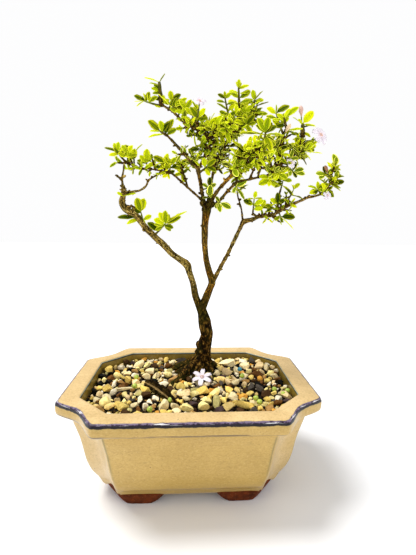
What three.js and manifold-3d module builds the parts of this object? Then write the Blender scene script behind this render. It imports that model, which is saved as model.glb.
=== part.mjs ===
// A serissa bonsai growing in its glazed stoneware pot.
// Millimetres, +Z up. Everything is laid out from the middle of the pot's base, with the long
// side of the pot along X, and the last lines move the whole to stand on its own bottom centre.

import * as THREE from 'three';
import { mergeVertices } from 'three/addons/utils/BufferGeometryUtils.js';
import Module from 'manifold-3d';

const wasm = await Module();
wasm.setup();

// ---------------------------------------------------------------- driving dimensions

const RIM_LENGTH = 180;
const RIM_WIDTH = 142;
const POT_HEIGHT = 74;
const LIP_DEPTH = 10.2;
const RIM_FLAT = 14.7;
const CORNER_CUT = 31;
const CORNER_DENT = 4;
const INNER_CUT = 23;
const FOOT_HEIGHT = 6.4;
const FLOOR_TOP = 13.5;
const DRAIN_RADIUS = 6.5;
const DRAIN_SPACING = 64;

const GAP = 0.3;
const SOIL_TOP = 60;

const LEAF_THICKNESS = 0.6;
const LEAF_WIDTH_RATIO = 0.44;
const TWIG_RADIUS = 0.75;

// ---------------------------------------------------------------- colours

const GLAZE = { color: 0xc9ac74, roughness: 0.3, metalness: 0 };
const SOIL = { color: 0x3b2c20, roughness: 0.95, metalness: 0 };
const STONES = { color: 0xcdb68c, roughness: 0.8, metalness: 0 };
const MESH_PLASTIC = { color: 0x20242a, roughness: 0.6, metalness: 0 };
const BARK = { color: 0x6e5636, roughness: 0.9, metalness: 0 };
const OLD_BARK = { color: 0x4a3320, roughness: 0.95, metalness: 0 };
const BRIGHT_LEAF = { color: 0xa6c814, roughness: 0.5, metalness: 0 };
const DEEP_LEAF = { color: 0x4f8a1c, roughness: 0.5, metalness: 0 };
const PETAL = { color: 0xf6eef0, roughness: 0.6, metalness: 0 };
const PINK_BUD = { color: 0xdba9a0, roughness: 0.6, metalness: 0 };

// ---------------------------------------------------------------- solids

function toSolid(geometry) {
  geometry.deleteAttribute('normal');
  geometry.deleteAttribute('uv');
  const merged = mergeVertices(geometry, 1e-4);
  return new wasm.Manifold(new wasm.Mesh({
    numProp: 3,
    vertProperties: merged.getAttribute('position').array,
    triVerts: new Uint32Array(merged.getIndex().array),
  }));
}

function toGeometry(solid) {
  const mesh = solid.getMesh();
  const geometry = new THREE.BufferGeometry();
  geometry.setAttribute('position', new THREE.BufferAttribute(mesh.vertProperties, 3));
  geometry.setIndex(new THREE.BufferAttribute(mesh.triVerts, 1));
  geometry.computeVertexNormals();
  return geometry;
}

function joined(solids) {
  return solids.reduce((whole, solid) => whole.add(solid));
}

// A join can leave a scrap beside the body it belongs to: only the largest piece is kept.
function largestPiece(solid) {
  const pieces = solid.decompose();
  return pieces.reduce((best, piece) => (piece.volume() > best.volume() ? piece : best));
}

function indexed(vertices, triangles) {
  const geometry = new THREE.BufferGeometry();
  const flat = vertices.flatMap((vertex) => [vertex.x, vertex.y, vertex.z]);
  geometry.setAttribute('position', new THREE.Float32BufferAttribute(flat, 3));
  geometry.setIndex(triangles.flat());
  return geometry;
}

// A closed body through rings of equally many points, each ring counter-clockwise seen from the
// side that the rings advance to, with a flat cap on the first and on the last ring.
function loft(rings, firstCap, lastCap) {
  const count = rings[0].length;
  const triangles = [];
  for (let level = 0; level + 1 < rings.length; level += 1) {
    for (let i = 0; i < count; i += 1) {
      const a = level * count + i;
      const b = level * count + (i + 1) % count;
      triangles.push([a, b, b + count], [a, b + count, a + count]);
    }
  }
  const last = (rings.length - 1) * count;
  firstCap.forEach(([a, b, c]) => triangles.push([c, b, a]));
  lastCap.forEach(([a, b, c]) => triangles.push([a + last, b + last, c + last]));
  return indexed(rings.flat(), triangles);
}

function fanCap(count) {
  return Array.from({ length: count - 2 }, (_, i) => [0, i + 1, i + 2]);
}

function outlineCap(ring) {
  return THREE.ShapeUtils.triangulateShape(ring.map((p) => new THREE.Vector2(p.x, p.y)), []);
}

// A round bar along a smooth line through [x, y, z, radius] stations.
function taperedTube(stations, sides, steps, grow = 0) {
  const curve = smoothLine(stations);
  const frames = curve.computeFrenetFrames(steps, false);
  const rings = [];
  for (let step = 0; step <= steps; step += 1) {
    const u = step / steps;
    const centre = curve.getPoint(u);
    const radius = radiusAt(stations, u) + grow;
    const ring = [];
    for (let i = 0; i < sides; i += 1) {
      const angle = (2 * Math.PI * i) / sides;
      ring.push(centre.clone()
        .addScaledVector(frames.normals[step], radius * Math.cos(angle))
        .addScaledVector(frames.binormals[step], radius * Math.sin(angle)));
    }
    rings.push(ring);
  }
  return toSolid(loft(rings, fanCap(sides), fanCap(sides)));
}

function smoothLine(stations) {
  const points = stations.map(([x, y, z]) => new THREE.Vector3(x, y, z));
  return new THREE.CatmullRomCurve3(points, false, 'catmullrom', 0.5);
}

function radiusAt(stations, u) {
  const place = u * (stations.length - 1);
  const index = Math.min(Math.floor(place), stations.length - 2);
  return THREE.MathUtils.lerp(stations[index][3], stations[index + 1][3], place - index);
}

// A repeatable stream of draws between 0 and 1.
function seededDraws(seed) {
  let count = 0;
  return () => {
    count += 1;
    const wave = Math.sin(seed * 127.1 + count * 12.9898 + 78.233) * 43758.5453;
    return wave - Math.floor(wave);
  };
}

// ---------------------------------------------------------------- pot

const CORNER_POINTS = 5;

// The pot's plan at one height: a rectangle with cut corners, each cut hollowed by a dent.
// All four corners mirror the first one.
function potRing(inset, cut, dent, z) {
  const halfLength = RIM_LENGTH / 2 - inset;
  const halfWidth = RIM_WIDTH / 2 - inset;
  const corner = [];
  for (let i = 0; i < CORNER_POINTS; i += 1) {
    const s = i / (CORNER_POINTS - 1);
    const inward = dent * Math.sin(Math.PI * s) ** 2 * Math.SQRT1_2;
    corner.push([halfLength - cut * s - inward, halfWidth - cut * (1 - s) - inward]);
  }
  const mirrored = [...corner].reverse();
  return [
    ...corner.map(([x, y]) => new THREE.Vector3(x, y, z)),
    ...mirrored.map(([x, y]) => new THREE.Vector3(-x, y, z)),
    ...corner.map(([x, y]) => new THREE.Vector3(-x, -y, z)),
    ...mirrored.map(([x, y]) => new THREE.Vector3(x, -y, z)),
  ];
}

// [inset from the rim's outline, corner cut, corner dent, height], bottom to top.
const LIP_BOTTOM = POT_HEIGHT - LIP_DEPTH;
const OUTER_PROFILE = [
  [29.3, 11.3, 1.2, FOOT_HEIGHT],
  [25, 16, 2, 12.6],
  [19.5, 22.3, 3, 18],
  [16.8, 23, 3.6, 27],
  [15.4, 23, 4, 36],
  [13.5, 24, 4, 45],
  [10.5, 26, 4, 54],
  [8.4, 27, 4, LIP_BOTTOM],
  [1, CORNER_CUT - 0.6, CORNER_DENT, LIP_BOTTOM + 0.2],
  [0, CORNER_CUT, CORNER_DENT, LIP_BOTTOM + 1.4],
  [0, CORNER_CUT, CORNER_DENT, POT_HEIGHT - 1],
  [0.9, CORNER_CUT - 0.5, CORNER_DENT, POT_HEIGHT],
];

// The inside, rim to floor. Its corners are cut straight.
const INNER_PROFILE = [
  [RIM_FLAT - 0.8, INNER_CUT + 0.4, 0, POT_HEIGHT],
  [RIM_FLAT, INNER_CUT, 0, POT_HEIGHT - 0.8],
  [RIM_FLAT + 0.6, INNER_CUT, 0, SOIL_TOP],
  [19.5, 19.5, 0, 45],
  [22.8, 18, 0, 27],
  [26.5, 15, 0, 18],
  [31, 12, 0, FLOOR_TOP],
];

function potPiece() {
  const rings = [...OUTER_PROFILE, ...INNER_PROFILE].map((row) => potRing(...row));
  const body = toSolid(loft(rings, outlineCap(rings[0]), outlineCap(rings.at(-1))));
  const drains = [-1, 1].map((side) => drainCutter(side * DRAIN_SPACING / 2));
  return joined([body.subtract(joined(drains)), ...footSolids()]);
}

function drainCutter(x) {
  const cutter = new THREE.CylinderGeometry(DRAIN_RADIUS, DRAIN_RADIUS, 2 * FLOOR_TOP, 16);
  cutter.rotateX(Math.PI / 2);
  cutter.translate(x, 0, FLOOR_TOP / 2);
  return toSolid(cutter);
}

// A cloud foot wraps one corner of the base. Its plan shrinks towards the table.
const FOOT_TOP_PLAN = [
  [16.6, 44], [17.6, 32], [44, 31], [46, 12], [60.6, 11], [60.4, 29.4], [49.8, 41.2], [46, 44],
];
const FOOT_BOTTOM_PLAN = [
  [24.3, 42.4], [25.3, 33], [42.6, 31.6], [47, 19], [56, 18.4], [55.6, 27], [48, 37.6], [42.7, 42.2],
];
const FOOT_SINK = 0.8;

function footSolids() {
  const solids = [];
  for (const sx of [-1, 1]) {
    for (const sy of [-1, 1]) {
      const level = (plan, z) => plan.map(([x, y]) => new THREE.Vector3(sx * x, sy * y, z));
      const rings = [level(FOOT_BOTTOM_PLAN, 0), level(FOOT_TOP_PLAN, FOOT_HEIGHT + FOOT_SINK)];
      if (sx * sy > 0) {
        rings.forEach((ring) => ring.reverse());
      }
      rings.forEach((ring) => ring.reverse());
      solids.push(toSolid(loft(rings, outlineCap(rings[0]), outlineCap(rings[1]))));
    }
  }
  return solids;
}

// ---------------------------------------------------------------- drainage mesh

const MESH_SIDE = 22;
const MESH_THICKNESS = 1;
const MESH_HOLE = 7;
const MESH_PITCH = 9;

function drainageMesh(x) {
  const holes = [];
  for (const column of [-0.5, 0.5]) {
    for (const row of [-0.5, 0.5]) {
      const middle = [column * MESH_PITCH, row * MESH_PITCH, 0];
      holes.push(boxSolid([MESH_HOLE, MESH_HOLE, 3 * MESH_THICKNESS], middle));
    }
  }
  const square = boxSolid([MESH_SIDE, MESH_SIDE, MESH_THICKNESS], [0, 0, 0]);
  return square.subtract(joined(holes)).translate([x, 0, FLOOR_TOP + GAP + MESH_THICKNESS / 2]);
}

function boxSolid(size, middle) {
  const box = new THREE.BoxGeometry(...size);
  box.translate(...middle);
  return toSolid(box);
}

// ---------------------------------------------------------------- wood

// Every limb as [x, y, z, radius] stations along its middle. Each starts inside its parent.
const LIMBS = {
  trunk: [
    [10.6, 29, 44, 4.6], [10.6, 29, 56, 6], [10.6, 29, 66, 5.4], [10.8, 29, 73, 5], [10.9, 29, 79, 5.5],
    [11.4, 29, 85, 5.8], [12.6, 29.5, 92, 5.3], [13.7, 30, 98, 4.8], [12.9, 30, 104, 5.1],
    [12.2, 30, 110, 4.9], [10.3, 30, 117, 4.1], [8.9, 30, 123, 3.7], [8.2, 30, 127, 2.8],
  ],
  left: [
    [8.4, 30, 120, 3.05], [4.4, 30, 131, 2.75], [2.2, 29.5, 142, 2.45], [-1.2, 29, 152.5, 2.45],
    [-3, 28.5, 158, 2.95], [-8.7, 28, 162.4, 2.55], [-15, 27, 167, 2.45], [-22, 26, 174.5, 2.45],
    [-28.2, 25, 180.2, 2.4], [-36.3, 23.5, 188.6, 2.4], [-43.4, 22, 197.6, 2.3], [-50.5, 20.5, 202, 2.45],
    [-53.2, 20, 207, 2.4], [-52.3, 20, 212, 2], [-52, 20, 217, 1.8], [-52.2, 20, 220, 1.25],
  ],
  leftWhip: [[-52.1, 20, 217, 1.1], [-52.8, 20, 225, 0.9], [-51.6, 20, 232, 0.8], [-51.2, 20, 237, 0.7]],
  leftSpur: [
    [-52.2, 20, 214.5, 1.2], [-44.5, 18, 215.4, 1], [-39, 17, 216.3, 0.9], [-34.3, 16, 219.5, 0.85],
    [-31.8, 15, 224, 0.8], [-25.7, 14, 227.6, 0.7],
  ],
  leftHook: [[-52.6, 20, 223, 0.9], [-56.8, 19, 228, 0.7]],
  leftPeg: [[-50.6, 20.5, 204.5, 1.1], [-44.6, 23, 204, 0.9], [-41, 26, 201.8, 0.8]],
  middle: [
    [9.6, 30, 119, 3.05], [12.6, 30, 129, 3.05], [16.2, 30, 138, 2.7], [18, 30, 144, 2.9],
    [15.6, 30, 152, 2.45], [12.9, 30, 163, 2.25], [11.6, 30, 174, 2.25], [11.4, 30, 184, 2.5],
    [12, 30, 194, 2.7], [13, 30, 202, 3.4], [13.6, 30, 207.5, 2.5],
  ],
  right: [
    [17, 30, 141, 2.1], [20.4, 30, 147, 1.85], [24, 30, 154.5, 1.65], [30, 29, 166, 1.6],
    [36, 28, 179, 1.6], [41, 27, 190, 1.65], [43, 27, 193.5, 2], [50, 25, 195.5, 1.6],
    [54.6, 24, 197.5, 1.5], [60.5, 23, 198.3, 1.4], [65, 22, 199, 1.3], [70, 21, 201.5, 1.3],
    [74.5, 20, 205, 1.3], [79, 19, 207, 1.25], [86.6, 18, 210.3, 1.15], [92, 17, 212.7, 1.05],
    [99.5, 16, 214.5, 0.95], [104.3, 15, 217.6, 0.95], [107.4, 15, 222, 0.9], [108.5, 15, 228, 0.8],
    [109.2, 15, 233, 0.7],
  ],
  rightInner: [[42.4, 27, 192.5, 1], [41.3, 30, 203.6, 0.8], [38.7, 33, 213.7, 0.7]],
  rightLow: [[54.2, 24, 197, 1], [49.1, 20, 200.2, 0.8]],
  rightMid: [[68.7, 21, 200.8, 1], [69.7, 22, 208, 0.9], [71, 24, 216.5, 0.8]],
  rightOuter: [[75.5, 20, 205.4, 1], [77, 17, 212, 0.8]],
  crownLeft: [
    [12.5, 30, 205, 1.4], [8.3, 30.5, 211, 1.1], [-2.3, 32, 220.4, 1], [-14.4, 34, 231, 0.9],
    [-20, 35, 233, 0.85], [-31, 36, 235, 0.75], [-44, 37, 236.7, 0.7], [-52, 37, 240, 0.7],
  ],
  crownLeftFork: [[-2.7, 32, 220.4, 0.95], [-4.4, 36, 227.5, 0.85], [-8, 40, 237, 0.75]],
  crownStem: [[12.6, 30, 204, 1.8], [9.9, 29.5, 212.4, 1.5], [7.5, 27, 225, 1.45], [5.5, 25, 235.5, 1.35]],
  crownForward: [[5.6, 25, 234, 1.2], [-5, 20, 244, 1.2], [-12, 16, 251, 1.1], [-18.5, 13, 256.7, 0.9]],
  crownRise: [
    [5.8, 25, 234.5, 1.3], [9.4, 25, 241, 1.2], [13, 24, 246.4, 1.2], [14.3, 23, 252, 1.15],
    [15.5, 22, 258.5, 1.2],
  ],
  crownReach: [
    [15.5, 22, 257.5, 1.2], [9.2, 22.5, 261, 1.2], [3, 23, 264, 1.1], [-2.5, 24, 267, 1.1],
    [-7.6, 25, 271, 1.05], [-14.8, 27, 277.7, 0.95], [-23, 28, 282.4, 0.95],
  ],
  crownBloomTwig: [[3.4, 23, 263.8, 0.9], [5, 20, 268, 0.8]],
  crownInner: [[15.3, 22, 257.6, 1.05], [20.6, 20, 260, 0.95], [26.6, 18, 261.6, 0.9], [30, 16, 264, 0.8]],
  back: [
    [13.4, 31, 205, 1.6], [15.7, 34, 219, 1.2], [17.4, 37, 227.5, 1.15], [20, 40, 240, 1.15],
    [26, 43, 251, 1.1], [32.7, 46, 262, 1], [39.5, 48, 274, 0.95], [40.8, 50, 285, 0.85],
  ],
  backTwin: [[32.4, 46, 261.6, 0.95], [33, 43, 272, 0.85]],
  backRight: [[40.2, 48.5, 276.5, 0.95], [48, 50, 280, 0.85], [55, 52, 285.5, 0.75]],
  front: [
    [13.8, 29.5, 205, 1.6], [21, 23, 217.3, 1.45], [28.4, 17, 225.6, 1.45], [35, 11, 233.5, 1.3],
    [39.3, 6, 238.4, 1.25], [44.2, 1, 240, 1.05], [50.4, -4, 243.7, 0.8],
  ],
  side: [
    [14, 30, 204, 1.5], [21.7, 28, 208.6, 1.25], [28, 26, 216, 1.2], [33.2, 25, 221.5, 1.2],
    [35.7, 24, 224, 1.25], [46, 22, 226.5, 1.05], [52.7, 21, 228, 0.95], [61, 20, 230, 0.9],
    [68, 20, 236, 0.9], [77, 20, 243, 0.9], [84, 20, 248.4, 0.8], [86.8, 20, 254, 0.75],
    [86.6, 20, 260, 0.7],
  ],
  sideInner: [[35.8, 24.2, 224.2, 1.1], [37.3, 28, 233.6, 0.9]],
  sideUpper: [[46, 22, 226.5, 1], [49.3, 20, 234.6, 0.8]],
  sideTall: [[61, 20, 230, 0.95], [66, 15, 241, 0.85], [68, 12, 254, 0.75], [71.5, 10, 264, 0.75]],
  rearLeft: [[9.2, 29.4, 214, 1.1], [7, 40, 228, 1.05], [4.4, 52, 240, 0.9], [2.6, 60, 248, 0.7]],
  rearMid: [[17.2, 37, 227, 1.1], [20, 50, 240, 0.95], [22, 62, 252, 0.8]],
  rearRight: [[52.7, 21, 228, 0.95], [57, 36, 238, 0.95], [62, 50, 250, 0.9], [64, 60, 258, 0.7]],
};

const THICK_LIMB = 3;
const THIN_LIMB = 1.45;
const STEP_LENGTH = 12;

function limbSolid(stations, grow = 0) {
  const radius = stations[0][3];
  const sides = radius > THICK_LIMB ? 7 : (radius > THIN_LIMB ? 5 : 4);
  const steps = Math.max(2, Math.round(smoothLine(stations).getLength() / STEP_LENGTH));
  return taperedTube(stations, sides, steps, grow);
}

// Roots leave the trunk's foot and run down into the soil. The first one breaks the surface.
const ROOT_LENGTH = 46;
const ROOT_COUNT = 5;

function rootStations() {
  const surfaceRoot = [[9, 27.5, 75, 3.6], [3, 23, 70.5, 3.4], [-5, 15, 67, 2.8], [-15, 3, 58, 1.3]];
  const mossyRoot = [[8.5, 31, 73, 3.6], [-2, 33, 69, 3.4], [-12, 34, 65.5, 2.6], [-22, 34, 50, 1.4]];
  const buried = [];
  for (let i = 0; i < ROOT_COUNT; i += 1) {
    const angle = (2 * Math.PI * i) / ROOT_COUNT + 0.9;
    const reach = (share) => [
      10.6 + share * ROOT_LENGTH * 0.8 * Math.cos(angle),
      26 + share * ROOT_LENGTH * 0.4 * Math.sin(angle),
      52 - share * share * (ROOT_LENGTH - 14),
    ];
    buried.push([[...reach(0), 3], [...reach(0.5), 2.2], [...reach(1), 1.1]]);
  }
  return [surfaceRoot, mossyRoot, ...buried];
}

// Knots and stubs where old shoots were cut off: [x, y, z, radius].
const KNOTS = [
  [7.2, 26.5, 91, 2.6], [16.4, 27.6, 97, 2.4], [-3.8, 27.8, 159.4, 2.6], [-36.8, 21.6, 186.6, 1.7],
  [11, 27.6, 203, 2.6],
];

function knotSolid([x, y, z, radius]) {
  const knot = new THREE.IcosahedronGeometry(radius, 0);
  knot.translate(x, y, z);
  return toSolid(knot);
}

function woodSolids(grow = 0) {
  const limbs = Object.values(LIMBS).map((stations) => limbSolid(stations, grow));
  const roots = rootStations().map((stations) => taperedTube(stations, 4, 3, grow));
  return [...limbs, ...roots, ...KNOTS.map(knotSolid)];
}

// ---------------------------------------------------------------- soil and gravel

function innerInsetAt(z) {
  const rows = [...INNER_PROFILE].reverse();
  const index = Math.max(rows.findIndex((row) => row[3] >= z), 1);
  const [low, high] = [rows[index - 1], rows[index]];
  const share = (z - low[3]) / (high[3] - low[3]);
  return [THREE.MathUtils.lerp(low[0], high[0], share), THREE.MathUtils.lerp(low[1], high[1], share)];
}

function fillRing(z) {
  const [inset, cut] = innerInsetAt(z);
  const ends = [0, CORNER_POINTS - 1];
  return potRing(inset + GAP, cut, 0, z).filter((_, i) => ends.includes(i % CORNER_POINTS));
}

function fillSolid(levels) {
  const rings = levels.map((z) => fillRing(z));
  return toSolid(loft(rings, outlineCap(rings[0]), outlineCap(rings.at(-1))));
}

function soilPiece(woodGrown) {
  const levels = [FLOOR_TOP + GAP, 18, 27, 45, SOIL_TOP];
  const pockets = [-1, 1].map((side) => {
    const room = MESH_SIDE + 2 * GAP;
    const depth = 2 * (MESH_THICKNESS + GAP);
    return boxSolid([room, room, depth], [side * DRAIN_SPACING / 2, 0, FLOOR_TOP + GAP]);
  });
  return fillSolid(levels).subtract(joined([...pockets, ...woodGrown]));
}

// The gravel's top is a relief of packed stones on a staggered lattice. Each stone is a low dome
// of two rings round its own crown, and its outer ring is the valley that it shares with the
// stones beside it. Draws move every crown and every valley point.
const STONE_PITCH = 15;
const ROW_PITCH = STONE_PITCH * Math.sqrt(0.75);
const VALLEY_Z = 64.4;
const CROWN_Z = 67.8;
const STONE_COLUMNS = 7;
const STONE_ROWS = 6;
const VALLEY_WANDER = 3.4;
const CROWN_WANDER = 2.4;

function latticePoint(column, row) {
  return [(column + 0.5 * Math.abs(row % 2)) * STONE_PITCH, row * ROW_PITCH];
}

function drawAt(column, row, kind) {
  return seededDraws(column * 31 + row * 57 + kind * 113 + 7)();
}

function stoneRelief() {
  const vertices = [];
  const triangles = [];
  const valleys = new Map();
  const valley = (column, row, end) => {
    const key = `${column},${row},${end}`;
    if (!valleys.has(key)) {
      const [x, y] = latticePoint(column, row);
      const jog = (kind) => (drawAt(column, row, kind + end) - 0.5) * VALLEY_WANDER;
      const corner = end * STONE_PITCH / Math.sqrt(3);
      valleys.set(key, vertices.length);
      vertices.push(new THREE.Vector3(x + jog(3), y + corner + jog(9), VALLEY_Z));
    }
    return valleys.get(key);
  };
  for (let row = -STONE_ROWS; row <= STONE_ROWS; row += 1) {
    for (let column = -STONE_COLUMNS - 1; column <= STONE_COLUMNS; column += 1) {
      const shift = Math.abs(row % 2);
      const rim = [
        valley(column, row, 1),
        valley(column - 1 + shift, row + 1, -1),
        valley(column - 1 + shift, row - 1, 1),
        valley(column, row, -1),
        valley(column + shift, row - 1, 1),
        valley(column + shift, row + 1, -1),
      ];
      addStone(vertices, triangles, rim, column, row);
    }
  }
  return closedDown(vertices, triangles, SOIL_TOP - 1);
}

function addStone(vertices, triangles, rim, column, row) {
  const centre = new THREE.Vector3();
  rim.forEach((index) => centre.addScaledVector(vertices[index], 1 / rim.length));
  const rise = CROWN_Z - VALLEY_Z + (drawAt(column, row, 1) - 0.5) * CROWN_WANDER;
  const lean = new THREE.Vector2(drawAt(column, row, 5) - 0.5, drawAt(column, row, 6) - 0.5);
  const share = 0.62 + 0.16 * drawAt(column, row, 8);
  const crown = vertices.length;
  vertices.push(centre.clone().setZ(VALLEY_Z + rise * 1.12));
  rim.forEach((index) => {
    const shoulder = centre.clone().lerp(vertices[index], share);
    const tilt = lean.x * (shoulder.x - centre.x) + lean.y * (shoulder.y - centre.y);
    vertices.push(shoulder.setZ(VALLEY_Z + rise * 0.8 + tilt * 0.5));
  });
  for (let i = 0; i < rim.length; i += 1) {
    const next = (i + 1) % rim.length;
    const [a, b] = [crown + 1 + i, crown + 1 + next];
    triangles.push([crown, a, b], [a, rim[i], rim[next]], [a, rim[next], b]);
  }
}

// Walls and a floor under an open relief: the floor repeats its triangles at one height.
function closedDown(vertices, triangles, z) {
  const count = vertices.length;
  const used = new Set(triangles.flatMap(([a, b, c]) => [`${a},${b}`, `${b},${c}`, `${c},${a}`]));
  const walls = [];
  used.forEach((edge) => {
    const [a, b] = edge.split(',').map(Number);
    if (!used.has(`${b},${a}`)) {
      walls.push([b, a, a + count], [b, a + count, b + count]);
    }
  });
  const floor = triangles.map(([a, b, c]) => [c + count, b + count, a + count]);
  const lower = vertices.map((vertex) => vertex.clone().setZ(z));
  return toSolid(indexed([...vertices, ...lower], [...triangles, ...walls, ...floor]));
}

function gravelPiece(cutters) {
  const room = fillSolid([SOIL_TOP + GAP, POT_HEIGHT - 1]);
  const gravel = joined([stoneRelief().intersect(room), ...PELLETS.map(pelletSolid)]);
  return largestPiece(gravel.subtract(joined(cutters)));
}

// Round fertiliser pellets, half sunk between the stones: [x, y].
const PELLETS = [[66, -2], [72, -6], [48, -14], [48, -22], [42, 14], [-15, -16], [-44, 8]];
const PELLET_RADIUS = 2.1;

function pelletSolid([x, y]) {
  const pellet = new THREE.IcosahedronGeometry(PELLET_RADIUS, 0);
  pellet.translate(x, y, CROWN_Z);
  return toSolid(pellet);
}

// ---------------------------------------------------------------- leaves

// One blade lies along +X with its upper side towards +Z. It is folded up along the midrib and
// arches down towards its tip. Each face is split into the same triangles.
const FOLD = 0.22;
const BLADE_OUTLINE = [[0.42, 1], [0.42, 0], [0.42, -1], [0.78, 0.74], [0.78, -0.74], [1, 0]];
const BLADE_FACES = [[0, 1, 3], [0, 3, 2], [1, 4, 3], [2, 3, 5], [3, 4, 6], [3, 7, 5], [3, 6, 7]];
const BLADE_RIM = [0, 2, 5, 7, 6, 4, 1];

function bladePoints({ length, width, droop }, grow = 0) {
  const upper = BLADE_OUTLINE.map(([share, side]) => {
    const sideways = side * (width / 2 + grow);
    const height = FOLD * Math.abs(sideways) - droop * length * share * share;
    return new THREE.Vector3((length + grow) * share, sideways, height + grow);
  });
  const thickness = new THREE.Vector3(0, 0, LEAF_THICKNESS + 2 * grow);
  return { upper, lower: upper.map((point) => point.clone().sub(thickness)) };
}

// Joins a blade to four root vertices: upper left, upper right, lower left, lower right.
function addBlade(vertices, triangles, root, points) {
  const first = vertices.length;
  vertices.push(...points.upper, ...points.lower);
  const above = [root[0], root[1], ...points.upper.map((_, i) => first + i)];
  const below = [root[2], root[3], ...points.lower.map((_, i) => first + points.upper.length + i)];
  BLADE_FACES.forEach(([a, b, c]) => {
    triangles.push([above[a], above[b], above[c]], [below[c], below[b], below[a]]);
  });
  for (let i = 0; i + 1 < BLADE_RIM.length; i += 1) {
    const [from, to] = [BLADE_RIM[i], BLADE_RIM[i + 1]];
    triangles.push([above[from], above[to], below[to]], [above[from], below[to], below[from]]);
  }
}

// A blade by itself, with a narrow closed root.
function looseBlade(leaf, grow = 0) {
  const half = 0.5 + grow;
  const top = grow;
  const base = -LEAF_THICKNESS - grow;
  const vertices = [
    new THREE.Vector3(0, half, top), new THREE.Vector3(0, -half, top),
    new THREE.Vector3(0, half, base), new THREE.Vector3(0, -half, base),
  ];
  const triangles = [[1, 0, 2], [1, 2, 3]];
  addBlade(vertices, triangles, [0, 1, 2, 3], bladePoints(leaf, grow));
  return indexed(vertices, triangles);
}

// ---------------------------------------------------------------- leafy shoots

// A shoot is a square twig. Its leaves stand in opposite pairs, each pair a quarter turn round
// from the pair below it, and grow straight out of the twig's faces.
const FIRST_PAIR = 0.3;
const NODE_HEIGHT = 1;
const SPREAD = THREE.MathUtils.degToRad(60);
const TIP_SPREAD = THREE.MathUtils.degToRad(32);

function makeStem(start, direction, length, turn) {
  const way = new THREE.Vector3(...direction).normalize();
  const sag = new THREE.Vector3(0, 0, -0.07 * length);
  const middle = start.clone().addScaledVector(way, length / 2).add(sag);
  const end = start.clone().addScaledVector(way, length);
  return { curve: new THREE.QuadraticBezierCurve3(start, middle, end), length, turn };
}

// The twig's own axes at a share of its length: along it, and across it towards its first face.
function stemAxes(stem, share) {
  const along = stem.curve.getTangent(share);
  const level = new THREE.Vector3(0.2, 1, 0).cross(along).normalize();
  const across = level.applyAxisAngle(along, stem.turn);
  return { along, across, centre: stem.curve.getPoint(share) };
}

function squareRing(stem, share) {
  const { along, across, centre } = stemAxes(stem, share);
  return [-1, 1, 3, 5].map((eighth) => {
    const arm = across.clone().applyAxisAngle(along, eighth * Math.PI / 4);
    return centre.clone().addScaledVector(arm, TWIG_RADIUS);
  });
}

function pairShare(stem, pairs, pair) {
  const last = 1 - NODE_HEIGHT / 2 / stem.length;
  return pairs === 1 ? last : THREE.MathUtils.lerp(FIRST_PAIR, last, pair / (pairs - 1));
}

function shootLeaves(stem, pairs, leafLength, draw) {
  const leaves = [];
  for (let pair = 0; pair < pairs; pair += 1) {
    const share = pairs === 1 ? 0.5 : pair / (pairs - 1);
    const spread = THREE.MathUtils.lerp(SPREAD, TIP_SPREAD, share * share);
    const smaller = pairs > 1 && pair === pairs - 1 ? 0.8 : 1;
    for (const face of [pair % 2, (pair % 2) + 2]) {
      const length = leafLength * smaller * (0.82 + 0.33 * draw());
      leaves.push({
        pair,
        face,
        share: pairShare(stem, pairs, pair),
        length,
        width: length * LEAF_WIDTH_RATIO,
        jog: (draw() - 0.5) * 0.5,
        spread: spread + (draw() - 0.5) * 0.4,
        droop: 0.08 + 0.24 * draw(),
      });
    }
  }
  return leaves;
}

// Where one leaf stands: its root, the way it points and the way its upper side looks.
function leafPlacement(stem, leaf, [extraTurn, extraSpread]) {
  const { along, across, centre } = stemAxes(stem, leaf.share);
  const turn = leaf.face * Math.PI / 2 + leaf.jog + extraTurn;
  const outward = across.clone().applyAxisAngle(along, turn);
  const spread = leaf.spread + extraSpread;
  const pointing = along.clone().multiplyScalar(Math.cos(spread));
  pointing.addScaledVector(outward, Math.sin(spread));
  const sideways = along.clone().cross(outward);
  const facing = pointing.clone().cross(sideways);
  return new THREE.Matrix4().makeBasis(pointing, sideways, facing).setPosition(centre);
}

function leafyShoot(stem, pairs, leaves) {
  const half = NODE_HEIGHT / 2 / stem.length;
  const shares = [0];
  for (let pair = 0; pair < pairs; pair += 1) {
    const share = pairShare(stem, pairs, pair);
    shares.push(share - half, share + half);
  }
  const vertices = shares.flatMap((share) => squareRing(stem, share));
  const top = vertices.length - 4;
  const triangles = [[2, 1, 0], [3, 2, 0], [top, top + 1, top + 2], [top, top + 2, top + 3]];
  for (let level = 0; level + 1 < shares.length; level += 1) {
    for (let face = 0; face < 4; face += 1) {
      const [a, b] = [4 * level + face, 4 * level + (face + 1) % 4];
      const leaf = leaves.find((one) => 2 * one.pair + 1 === level && one.face === face);
      if (leaf) {
        addBlade(vertices, triangles, [b + 4, a + 4, b, a], leaf.points);
      } else {
        triangles.push([a, b, b + 4], [a, b + 4, a + 4]);
      }
    }
  }
  return toSolid(indexed(vertices, triangles));
}

// ---------------------------------------------------------------- leafy sprays

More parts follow.
